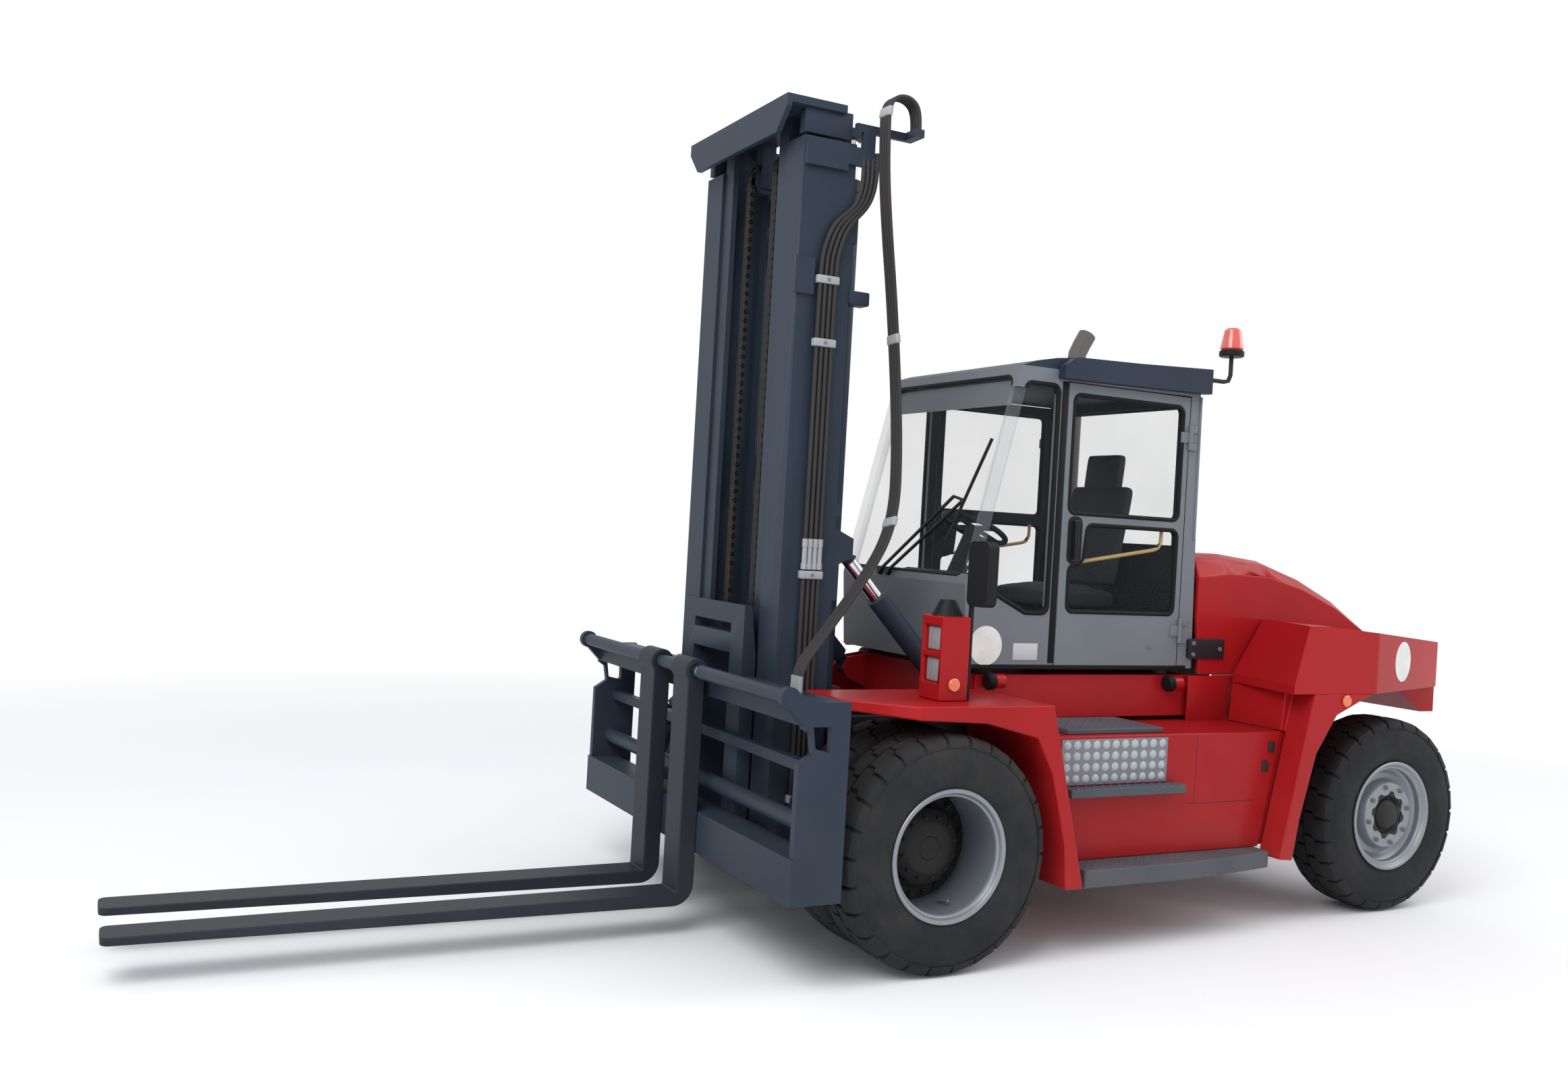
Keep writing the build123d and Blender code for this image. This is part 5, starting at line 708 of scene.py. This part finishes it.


# Cab: a welded frame of pressed steel in grey, on rubber mounts, with flush glass in black rubber seals and
# a door hinged at the rear edge on each side. A grey panel behind the windscreen's top is a painted
# reflection of the sky in the glass.
cab_paint = paint("cab_paint", srgb(120, 126, 131), srgb(78, 78, 80), 0.42, 0.08, 0.3, 360.0, 0.2)
dressed("cab_frame", cab_paint, "cab_paint", 0.006, 3)
for node_name in ("door_left", "door_right"):
    dressed(node_name, cab_paint, "cab_paint", 0.005, 3)
rubber = paint("hose_rubber", srgb(60, 58, 57), srgb(84, 80, 76), 0.55, 0.0, 0.3, 300.0, 0.2)
seal_rubber = paint("seal_rubber", srgb(26, 26, 27), srgb(52, 50, 48), 0.55, 0.0, 0.2, 420.0, 0.2)
dressed("cab_mounts", rubber, "hose_rubber", 0.008)


def clear_glass(name, deep, pale, roughness, cover):
    """Glass with a faint cloud in its tone; cover is the least that it hides."""
    finish, shader, place = new_finish(name, Roughness=roughness, Specular_IOR_Level=0.5)
    finish.surface_render_method = "BLENDED"
    feed(shader, Base_Color=noise(place, 2.0).within(0.3, 0.7).blend(deep, pale),
         Alpha=noise(place, 1.1).within(0.35, 0.65) * 0.04 + cover)
    return finish


glass = clear_glass("cab_glass", srgb(40, 50, 56), srgb(52, 64, 70), 0.02, 0.05)
CAB_MIDDLE = Vector((0, aft(1.2), 2.2))
LEAST_PANE = 0.1
RAKED_RUN, RAKED_RISE = 0.15, 0.8


def panes(node_name):
    """The outline of each outward face of a node's glass."""
    shape = bmesh.new()
    shape.from_mesh(frame["nodes"][node_name].data)
    bmesh.ops.remove_doubles(shape, verts=shape.verts, dist=SAME_PLACE)
    bmesh.ops.dissolve_limit(shape, angle_limit=math.radians(0.5), verts=shape.verts, edges=shape.edges)
    found = [[corner.vert.co.copy() for corner in face.loops] for face in shape.faces
             if face.calc_area() > LEAST_PANE
             and face.normal.dot(face.calc_center_median() - CAB_MIDDLE) > 0]
    shape.free()
    return found


def seal_runs(outline):
    """An outline's runs between long raked edges, which carry no seal, and whether it has such edges."""
    raked = [k for k, spot in enumerate(outline)
             if abs(spot.y - outline[k - 1].y) > RAKED_RUN and abs(spot.z - outline[k - 1].z) > RAKED_RISE]
    ends = zip(raked, raked[1:] + [k + len(outline) for k in raked[:1]])
    return [(start, (outline * 2)[start:end]) for start, end in ends] or [(0, outline)], bool(raked)


for node_name in ("cab_glass", "door_left_glass", "door_right_glass"):
    dressed(node_name, glass, "glass", 0.0015)
    for number, outline in enumerate(panes(node_name), 1):
        runs, opened = seal_runs(outline)
        for start, run in runs:
            tube(f"{node_name}_seal_{number}" + f"_{start}" * (len(runs) > 1), run, 0.014,
                 frame["nodes"][node_name]["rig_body"], seal_rubber, "glass", cyclic=not opened, sides=3)


def plate(name, outline, x, body, finish, slot, corner=0.0):
    """A plate from (y, z) corners, rounded, between two x."""
    points = []
    count = len(outline)
    for index, here in enumerate(outline):
        here = Vector(here)
        before, after = Vector(outline[index - 1]), Vector(outline[(index + 1) % count])
        if corner == 0:
            points.append(here)
            continue
        start, end = here + corner * (before - here).normalized(), here + corner * (after - here).normalized()
        for k in range(7):
            share = k / 6
            points.append((1 - share) ** 2 * start + 2 * share * (1 - share) * here + share ** 2 * end)
    shape = bmesh.new()
    skin(shape, [[shape.verts.new((at, y, z)) for y, z in points] for at in x])
    return finished(shape, name, body, finish, slot)


label_grey = paint("label_grey", srgb(206, 208, 208), srgb(160, 160, 158), 0.45, 0.1, 0.2, 300.0, 0.1)
rod("cab_sign", (0.622, aft(0.591), 1.490), (0.6325, aft(0.591), 1.490), 0.104, "chassis", sign_white,
    "cab_paint", sides=64)
slab("cab_label", (0.622, 0.6318), (aft(0.771), aft(0.933)), (1.416, 1.505), "chassis", label_grey,
     "cab_paint", 0.001)
grab_yellow = paint("grab_yellow", srgb(205, 175, 110), srgb(120, 104, 74), 0.38, 0.2, 0.3, 300.0, 0.0)
for side, sign in SIDES:
    slab(f"door_front_seal_{side}", (sign * 0.620, sign * 0.6340), (aft(1.004), aft(1.0405)), (1.400, 2.922),
         "chassis", seal_rubber, "cab_paint", 0.004)
    plate(f"handle_cup_{side}", [(aft(1.092), 1.940), (aft(1.190), 1.940), (aft(1.190), 2.200),
                                 (aft(1.092), 2.200)], (sign * 0.625, sign * 0.6350), f"door_{side}",
          black_plastic, "cab_paint", 0.046)
    slab(f"handle_{side}", (sign * 0.630, sign * 0.6625), (aft(1.1265), aft(1.1535)), (1.9585, 2.1785),
         f"door_{side}", black_plastic, "cab_paint", 0.007, steps=3)
    rod(f"door_lock_{side}", (sign * 0.625, aft(1.717), 1.502), (sign * 0.6365, aft(1.717), 1.502), 0.017,
        f"door_{side}", nut_steel, "cab_paint", lip=0.002)
    tube(f"grab_rail_{side}", [(sign * 0.599, aft(y), z) for y, z in ((1.205, 1.952), (1.735, 2.0395),
                                                                      (1.770, 2.052), (1.788, 2.082),
                                                                      (1.791, 2.110), (1.791, 2.168))],
         0.0105, f"door_{side}", grab_yellow, "cab_paint", sides=4)
    slab(f"rear_strap_{side}", (sign * 0.6415, sign * 0.652), (aft(2.000), aft(2.275)), (1.432, 1.547),
         "chassis", black_paint, "cab_paint", 0.004)
    slab(f"rear_strap_foot_{side}", (sign * 0.600, sign * 0.6425), (aft(2.000), aft(2.040)), (1.440, 1.540),
         "chassis", black_paint, "cab_paint", 0.003)
    for number, (y, z) in enumerate(((2.030, 1.522), (2.030, 1.458), (2.235, 1.490)), 1):
        rod(f"rear_strap_bolt_{side}_{number}", (sign * 0.650, aft(y), z), (sign * 0.661, aft(y), z), 0.013,
            "chassis", nut_steel, "cab_paint", sides=6)
    # A black rubber strip along the cab's foot, also standing in for painted shade in the gap under the cab.
    slab(f"cab_skirt_{side}", (sign * 0.600, sign * 0.6335), (aft(0.480), aft(2.000)), (1.366, 1.392),
         "chassis", seal_rubber, "cab_paint", 0.004)
    rod(f"rear_conduit_{side}", (sign * 0.632, aft(2.010), 2.114), (sign * 0.632, aft(2.004), 2.929), 0.008,
        "chassis", cab_paint, "cab_paint", sides=16)
    for number, (y, z) in enumerate(((0.602, 1.305), (1.852, 1.290)), 1):
        rod(f"mount_bush_{side}_{number}", (sign * 0.640, aft(y), z), (sign * 0.640, aft(y + 0.046), z),
            0.046, "chassis", seal_rubber, "hose_rubber", lip=0.010)
        rod(f"mount_tube_{side}_{number}", (sign * 0.640, aft(y + 0.046), z),
            (sign * 0.640, aft(y + 0.110), z), 0.038, "chassis", red_paint, "hose_rubber", lip=0.004)

SCREEN_RAKE = 0.2454
# A grey plate behind the windscreen's top: a painted reflection of the sky in the upper glass.
sky_reflection_band = [(aft(0.463 + (z - 1.847) * SCREEN_RAKE + depth), z)
          for z, depth in ((2.770, 0.012), (2.770, 0.018), (2.905, 0.018), (2.905, 0.012))]
plate("screen_header", sky_reflection_band, (-0.575, 0.575), "chassis", cab_paint, "cab_paint")

# Cab inside: black floor mat, a moulded dash with the steering wheel and a sprung seat with a foam cushion
# and back in woven cloth. The inner steel and the thin sheets over it are dark grey, painted shade in the
# cab.
trim_and_shade = paint("cab_trim_and_shade", srgb(38, 40, 43), srgb(60, 60, 62), 0.6, 0.0, 0.2, 380.0, 0.0)
SEATED_EYE = Vector((0, aft(1.25), 2.2))
LINED_X, LINED_FROM, LINED_TO, LINED_ABOVE = 0.6285, 0.46, 2.01, 1.40
# Faces of the shell and doors that look in on the seat take the dark grey as painted shade.
for node_name in ("cab_frame", "door_left", "door_right"):
    shell = bpy.data.objects[node_name + "_finished"].data
    shell.materials.append(trim_and_shade)
    for face in shell.polygons:
        away = face.center - SEATED_EYE
        x, y, z = face.center
        inner = abs(x) < LINED_X and LINED_FROM < y - front_y < LINED_TO and z > LINED_ABOVE
        face.material_index = int(inner and face.normal.dot(away.normalized()) < 0.25)
# A black floor mat, and thin dark sheets on the ceiling, rear wall and toe board that are painted shade.
for part, y, z in (("floor_mat", (0.525, 1.985), (1.4205, 1.428)),
                   ("ceiling_trim", (0.800, 1.940), (2.930, 2.9365)),
                   ("rear_trim", (1.968, 1.9785), (1.430, 2.040)),
                   ("toe_trim", (0.5175, 0.528), (1.430, 1.800))):
    slab(part, (-0.580, 0.580), (aft(y[0]), aft(y[1])), z, "chassis", trim_and_shade, "black_plastic", 0.002)
# A thin dark sheet low on each door's inside, painted shade.
for side, sign in SIDES:
    slab(f"door_trim_{side}", (sign * 0.5865, sign * 0.590), (aft(1.060), aft(1.915)), (1.400, 1.660),
         f"door_{side}", trim_and_shade, "black_plastic", 0.001)
dressed("console", trim_and_shade, "black_plastic", 0.010, 3)
cloth, shader, place = new_finish("seat_cloth", Coat_Weight=0.0)
weave = place.node("ShaderNodeTexWave", {"wave_type": "BANDS", "bands_direction": "DIAGONAL"},
                   {"Vector": place, "Scale": 160.0})
feed(shader, Base_Color=weave.node("ShaderNodeMix", {"data_type": "RGBA"},
                                   {0: weave * noise(place, 6.0), 6: srgb(30, 32, 36), 7: srgb(58, 61, 66)},
                                   out=2), Roughness=weave * 0.15 + 0.75,
     Normal=place.node("ShaderNodeBump", {}, {"Strength": 0.5, "Distance": 0.001, "Height": weave}))


def cushion(name, size, middle, lean, crown, nodes=()):
    """A foam block, crowned on its broad face, with rounded edges and a stitched groove."""
    shape = bmesh.new()
    bmesh.ops.create_cube(shape, size=1.0)
    bmesh.ops.subdivide_edges(shape, edges=shape.edges[:], cuts=9, use_grid_fill=True)
    for vert in shape.verts:
        u, v, w = vert.co * 2
        edge = (1 - abs(u) ** 3.5) * (1 - abs(v) ** 3.5)
        groove = 0.10 * math.exp(-((abs(u) - 0.62) / 0.07) ** 2)
        pull = 1.0 - 0.10 * (abs(w) ** 4) * (abs(u) ** 6 + abs(v) ** 6) / 2
        swell = (crown * edge - groove * crown * 3) * (w > 0.9)
        vert.co = Vector((u * size[0] / 2 * pull, v * size[1] / 2 * pull,
                          w * size[2] / 2 * (0.80 + 0.20 * edge) + swell))
    mesh = bpy.data.meshes.new(name)
    shape.to_mesh(mesh)
    shape.free()
    mesh.shade_smooth()
    raw = bpy.data.objects.new(name + "_raw", mesh)
    scene.collection.objects.link(raw)
    raw.matrix_world = Matrix.Translation(middle) @ Matrix.Rotation(lean, 4, "X")
    raw.modifiers.new("soft", "SUBSURF").levels = 2
    piece = settle(raw, name, "chassis", cloth, "seat_fabric", *nodes)
    return piece


cushion("seat_cushion", (0.505, 0.510, 0.120), (0, aft(1.530), 1.732), 0.0, 0.022, ("seat",))
cushion("seat_back", (0.500, 0.600, 0.085), (0, aft(1.8095), 2.110), math.radians(79), 0.022)
cushion("seat_headrest", (0.290, 0.235, 0.075), (0, aft(1.872), 2.482), math.radians(84), 0.016)
slab("seat_plinth", (-0.190, 0.190), (aft(1.350), aft(1.710)), (1.428, 1.678), "chassis", trim_and_shade, "seat_fabric",
     0.020, steps=3)

# Front corners of the cab: the windscreen's glass is bent round to the side panes and bonded there. The
# slim posts in these corners are see-through, between a cut above the dash and one below the roof.
POST_LOW, POST_HIGH = 1.862, 2.865
POST_X = 0.55
POST_FRONT, POST_REAR = -0.03, 0.085
# The posts' glass is paler and less clear than the panes: a painted reflection of the sky on the bent
# corners.
corner_glass_reflection = clear_glass("corner_glass_reflection", srgb(120, 128, 133), srgb(140, 147, 151), 0.05, 0.15)
shell = bpy.data.objects["cab_frame_finished"].data
shell.materials.append(corner_glass_reflection)
shape = bmesh.new()
shape.from_mesh(shell)
for level in (POST_LOW, POST_HIGH):
    bmesh.ops.bisect_plane(shape, geom=shape.verts[:] + shape.edges[:] + shape.faces[:],
                           plane_co=(0, 0, level), plane_no=(0, 0, 1))
for face in shape.faces:
    spot = face.calc_center_median()
    behind_screen = spot.y - aft(0.442) - (spot.z - 1.824) * SCREEN_RAKE
    if abs(spot.x) > POST_X and POST_LOW < spot.z < POST_HIGH and POST_FRONT < behind_screen < POST_REAR:
        face.material_index = 2
shape.to_mesh(shell)
shape.free()

# Roof, wiper, beacon and exhaust: a slate moulded cap with a visor over the doors, a pantograph wiper, a
# beacon on a bent arm and a steel exhaust stack with its tip cut and bent back.
roof_paint = paint("roof_paint", srgb(47, 55, 69), srgb(44, 46, 50), 0.45, 0.05, 0.3, 360.0, 0.0)
dressed("cab_roof", roof_paint, "roof_paint", 0.014, 3)
dressed("wiper", black_plastic, "black_plastic", 0.002)
beacon_lens = lens_plastic("beacon_lens", srgb(206, 78, 66), srgb(222, 104, 88), 12.0, 0.15, 0.7)
BEACON_X = 0.645
beacon_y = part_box("beacon")[1].y - 0.070
rod("beacon_lens", (BEACON_X, beacon_y, 3.215), (BEACON_X, beacon_y, 3.344), 0.067, "chassis", beacon_lens,
    "beacon_plastic", ("beacon",), 48, 0.047, 0.012)
rod("beacon_base", (BEACON_X, beacon_y, 3.180), (BEACON_X, beacon_y, 3.216), 0.070, "chassis", black_plastic,
    "beacon_plastic", lip=0.006, sides=48)
tube("beacon_arm", [(BEACON_X, aft(2.020), 3.032), (BEACON_X, beacon_y - 0.050, 3.032),
                    (BEACON_X, beacon_y - 0.015, 3.040), (BEACON_X, beacon_y, 3.075),
                    (BEACON_X, beacon_y, 3.185)], 0.0125, "chassis", black_paint, "beacon_plastic")
exhaust_steel = paint("exhaust_steel", srgb(112, 110, 106), srgb(96, 72, 56), 0.46, 0.0, 1.0, 200.0, 0.2)
STACK_X = -0.720
stack_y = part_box("exhaust")[0].y + 0.060
tube("exhaust_stack", [(STACK_X, stack_y, 1.076), (STACK_X, stack_y, 2.200), (STACK_X, stack_y, 3.240),
                       (STACK_X, stack_y + 0.012, 3.320), (STACK_X, stack_y + 0.045, 3.385),
                       (STACK_X, stack_y + 0.085, 3.452)], 0.0595, "chassis", exhaust_steel, "exhaust_steel",
     ("exhaust",), sides=10)
for number, z in enumerate((1.500, 2.300, 2.900), 1):
    rod(f"exhaust_band_{number}", (STACK_X, stack_y, z), (STACK_X, stack_y, z + 0.030), 0.0625, "chassis",
        nut_steel, "exhaust_steel", lip=0.002, sides=48)

# Mast: two nested pairs of rolled channels in blue-grey paint, tied across their backs. Two chromed lift
# cylinders behind them raise the inner pair, and leaf chains over its sheaves pull up the carriage.
mast_paint = paint("mast_paint", srgb(48, 58, 71), srgb(88, 84, 80), 0.48, 0.04, 0.5, 340.0, 0.10)
dressed("outer_mast", mast_paint, "mast_paint", 0.005)
dressed("inner_mast", mast_paint, "mast_paint", 0.004)
for side, sign in SIDES:
    slab(f"head_cheek_{side}", (sign * 0.500, sign * 0.560), (aft(-0.612), aft(-0.345)), (3.986, 4.120),
         "inner_mast", mast_paint, "mast_paint", 0.004)
slab("cable_lug", (0.500, 0.585), (aft(-0.325), aft(-0.205)), (3.175, 3.245), "outer_mast", mast_paint,
     "mast_paint", 0.010)
chrome, shader, place = new_finish("chrome", Metallic=1.0)
streak = noise(place.node("ShaderNodeVectorMath", {"operation": "MULTIPLY"},
                          {0: place, 1: (60.0, 60.0, 3.0)}), 1.0, 3.0)
feed(shader, Base_Color=streak.within(0.3, 0.7).blend(srgb(196, 198, 202), srgb(226, 228, 230)),
     Roughness=streak * 0.12 + 0.06)
LIFT_X = 0.340
lift_y = sum(corner.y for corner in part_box("lift_barrels")) / 2
for side, sign in SIDES:
    x = sign * LIFT_X
    rod(f"lift_barrel_{side}", (x, lift_y, 0.300), (x, lift_y, 3.800), 0.060, "outer_mast", mast_paint,
        "mast_paint", ("lift_barrels",), 48, lip=0.004)
    rod(f"lift_gland_{side}", (x, lift_y, 3.780), (x, lift_y, 3.850), 0.066, "outer_mast", mast_paint,
        "mast_paint", sides=48, lip=0.006)
    rod(f"lift_rod_{side}", (x, lift_y, 1.941), (x, lift_y, 4.0585), 0.040, "inner_mast", chrome, "chrome",
        ("lift_rods",), 48)

chain_steel = paint("chain_steel", srgb(50, 47, 44), srgb(92, 86, 80), 0.42, 0.0, 0.8, 200.0, 0.0)
links_on_a_path, given, way_out = node_tree("links_on_a_path", [
    ("Piece", "Object"), ("Path", "Object"), ("Count", "Int"), ("Finish", "Material")])
path = given["Path"].node("GeometryNodeObjectInfo", {}, {"Object": given["Path"]}, out="Geometry")
spots = path.node("GeometryNodeCurveToPoints", {"mode": "COUNT"}, {"Curve": path, "Count": given["Count"]})
rotation = Wire(links_on_a_path, spots.socket.node.outputs["Rotation"])
placed(links_on_a_path, way_out, spots, given["Piece"], rotation, given["Finish"])
LINK_PITCH = 0.048


def chain_link():
    """Five thin plates side by side on a pin, one pitch long, lying along Z."""
    shape = bmesh.new()
    reach, half = LINK_PITCH / 2 + 0.011, 0.0115
    outline = [(half, -reach + 0.010), (half * 0.80, 0.0), (half, reach - 0.010), (half * 0.5, reach),
               (-half * 0.5, reach), (-half, reach - 0.010), (-half * 0.80, 0.0), (-half, -reach + 0.010),
               (-half * 0.5, -reach), (half * 0.5, -reach)]
    for plate in range(5):
        x = -0.022 + plate * 0.011
        skin(shape, [[shape.verts.new((at, across, along)) for across, along in outline]
                     for at in (x - 0.003, x + 0.003)])
    skin(shape, [[shape.verts.new((at, across, LINK_PITCH / 2 + along)) for across, along in circle(0.006, 8)]
                 for at in (-0.0265, 0.0265)])
    return rough_piece("chain_link", shape)


def chain_run(name, points, body, nodes=()):
    """Links along a line of points."""
    line = line_through(name + "_path", points)
    length = sum((Vector(second) - Vector(first)).length for first, second in zip(points, points[1:]))
    link = chain_link()
    made = repeated(links_on_a_path, name, body, "chain_steel", link,
                    {"Path": line, "Count": round(length / LINK_PITCH) + 1, "Finish": chain_steel}, nodes)
    bpy.data.objects.remove(line)
    bpy.data.objects.remove(link)
    return made


chain_low, chain_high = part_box("chains")
chain_y = (chain_low.y + chain_high.y) / 2
CHAIN_X = 0.150
CHAIN_ARC = 0.0823
SHEAVE_Z = chain_high.z - CHAIN_ARC - 0.012
for side, sign in SIDES:
    x = sign * CHAIN_X
    front = chain_run(f"chain_front_{side}", [(x, chain_y - CHAIN_ARC, 1.530),
                                              (x, chain_y - CHAIN_ARC, SHEAVE_Z - 0.012)], "inner_mast",
                      ("chains",))
    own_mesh(front)
    over = [(x, chain_y - CHAIN_ARC * math.cos(math.pi * k / 16),
             SHEAVE_Z + CHAIN_ARC * math.sin(math.pi * k / 16)) for k in range(17)]
    chain_run(f"chain_over_{side}", over, "inner_mast")
    rear = chain_run(f"chain_rear_{side}", [(x, chain_y + CHAIN_ARC, 2.210),
                                            (x, chain_y + CHAIN_ARC, SHEAVE_Z - 0.012)], None)
    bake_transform(rear)

# Mast pipes: four hydraulic hoses clipped to the left upright in silver bands, with swaged steel fittings;
# at the top they turn in behind the mast.
clip_steel = paint("clip_steel", srgb(168, 170, 172), srgb(120, 112, 104), 0.32, 0.0, 0.4, 300.0, 0.1)
PIPE_X = 0.592
PIPE_PITCH = 0.028
for number in range(4):
    y = aft(-0.500 + PIPE_PITCH * number)
    tube(f"mast_pipe_{number + 1}", [(PIPE_X, y, 0.620), (PIPE_X, y, 1.600), (PIPE_X, y, 2.600),
                                     (PIPE_X, y, 3.330), (0.594, y + 0.015, 3.440), (0.596, y + 0.060, 3.560),
                                     (0.598, aft(-0.330 + 0.022 * number), 3.650),
                                     (0.598, aft(-0.296 + 0.024 * number), 3.740),
                                     (0.594, aft(-0.288 + 0.026 * number), 3.860),
                                     (0.580, aft(-0.288 + 0.026 * number), 3.940)], 0.011, "outer_mast",
         rubber, "hose_rubber", ("mast_pipes",) if number == 0 else (), smooth=True, sides=4)
    for low, high, radius in ((1.850, 1.880, 0.0155), (1.880, 1.960, 0.0125), (1.960, 2.000, 0.0145)):
        rod(f"pipe_fitting_{number + 1}_{round(low * 1000)}", (PIPE_X, y, low), (PIPE_X, y, high), radius,
            "outer_mast", clip_steel, "hose_rubber", sides=6 if radius > 0.015 else 20)
for number, z in enumerate((0.700, 1.803, 2.945, 3.255), 1):
    slab(f"pipe_clip_{number}", (0.569, 0.6065), (aft(-0.520), aft(-0.396)), (z, z + 0.040), "outer_mast",
         clip_steel, "hose_rubber", 0.006, steps=3)
    if z > TYRE_R * 2:
        rod(f"pipe_clip_bolt_{number}", (0.604, aft(-0.458), z + 0.020), (0.6125, aft(-0.458), z + 0.020),
            0.008, "outer_mast", nut_steel, "hose_rubber", sides=6)

# Carriage, guide shaft and forks: a welded frame of plate and bar on rollers in the inner mast. The forks
# are forged, hang on a ground shaft and slide along it; a plate closes the beam behind the shaft.
dressed("carriage", mast_paint, "mast_paint", 0.005)
for side, sign in SIDES:
    slab(f"beam_top_{side}", (sign * 0.376, sign * 1.256), (aft(-0.838), aft(-0.628)), (1.262, 1.2965),
         "carriage", mast_paint, "mast_paint", 0.008, steps=3)
shaft_low, shaft_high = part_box("guide_shaft")
shaft_y, shaft_z = (shaft_low.y + shaft_high.y) / 2, (shaft_low.z + shaft_high.z) / 2
rod("shaft", (shaft_low.x, shaft_y, shaft_z), (shaft_high.x, shaft_y, shaft_z), 0.0348, "carriage",
    mast_paint, "chrome", ("guide_shaft",), 48)
for side, sign in SIDES:
    rod(f"shaft_worn_{side}", (sign * 0.310, shaft_y, shaft_z), (sign * 0.374, shaft_y, shaft_z), 0.0350,
        "carriage", chrome, "chrome", sides=48)
fork_paint = paint("fork_paint", srgb(44, 48, 55), srgb(84, 86, 90), 0.50, 0.0, 0.6, 260.0, 0.06)
for node_name in ("fork_left", "fork_right"):
    dressed(node_name, fork_paint, "fork_paint", 0.007, 3)

# Tilt cylinders: painted barrels pinned to the deck, with chromed rods that reach up to the mast.
dressed("tilt_barrels", mast_paint, "mast_paint", 0.003)
dressed("tilt_rods", mast_paint, "chrome", 0.002)
anchor, eye = Vector((0, aft(0.430), 1.250)), Vector((0, aft(-0.260), 1.964))
for side, sign in SIDES:
    shift = Vector((sign * 0.510, 0, 0))
    rod(f"tilt_rod_{side}", anchor.lerp(eye, 0.50) + shift, anchor.lerp(eye, 0.905) + shift, 0.0353,
        "tilt_rods", chrome, "chrome", sides=40)

# Free hoses: four rubber hoses from the mast's arm to the carriage, held together by bands of silver tape,
# with crimped steel ends. They hang slack while the mast is down.
HOSE_ROUTE = [(650, -34, 4070), (650, -34, 4164), (650, -87, 4217), (650, -162, 4217), (650, -215, 4164),
              (650, -212, 4020), (650, -200, 3800), (652, -167, 3530), (660, -130, 3250), (677, -105, 2970),
              (702, -90, 2690), (735, -90, 2420), (775, -112, 2200), (815, -175, 2020), (860, -300, 1850),
              (910, -450, 1690), (965, -600, 1540), (1020, -715, 1440), (1046, -750, 1360),
              (1046, -750, 1297)]
HOSE_PITCH = 0.023
HOSE_R = 0.010
for number in range(4):
    shift = (number - 1.5) * HOSE_PITCH
    route = [(x / 1000 + shift, aft(y / 1000), z / 1000) for x, y, z in HOSE_ROUTE]
    raw = line_through(f"free_hose_{number + 1}_raw", route, smooth=True)
    bpy.context.view_layer.update()
    bare = bpy.data.meshes.new_from_object(raw)
    centreline = [vert.co.copy() for vert in bare.vertices]
    bpy.data.meshes.remove(bare)
    raw.data.bevel_depth, raw.data.bevel_resolution, raw.data.use_fill_caps = HOSE_R, 4, True
    hose = settle(raw, f"free_hose_{number + 1}", None, rubber, "hose_rubber", f"hose_{number + 1}")
    aft(-0.2)
    aft(-0.2)
    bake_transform(hose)
    end = centreline[-1]
    for low, high, radius, sides in ((0.0, 0.030, 0.0107, 20), (0.030, 0.046, 0.0113, 6),
                                     (0.046, 0.085, 0.0106, 20)):
        rod(f"hose_end_{number + 1}_{round(low * 1000)}", end + Vector((0, 0, low)),
            end + Vector((0, 0, high)), radius, "carriage", clip_steel, "hose_rubber", sides=sides)
down = [point - Vector((shift, 0, 0)) for point in centreline if point.y < aft(-0.12) or point.z < 3.5]
for number, height in enumerate((4.125, 2.998, 2.095), 1):
    index = min(range(1, len(down) - 1), key=lambda at: abs(down[at].z - height))
    first, spot, last = down[index - 1:index + 2]
    along = (last - first).normalized()
    across = (Vector((1, 0, 0)) - along * along.x).normalized()
    wrap = bmesh.new()
    bmesh.ops.create_cube(wrap, size=1.0, matrix=Matrix.Diagonal((0.097, 0.027, 0.050, 1.0)))
    bmesh.ops.bevel(wrap, geom=wrap.edges[:], offset=0.009, segments=3, affect="EDGES", profile=0.5)
    place = Matrix((across, along.cross(across), along)).transposed().to_4x4()
    wrap.transform(Matrix.Translation(spot) @ place)
    finished(wrap, f"hose_band_{number}", "outer_mast", clip_steel, "hose_rubber")

bpy.context.view_layer.update()
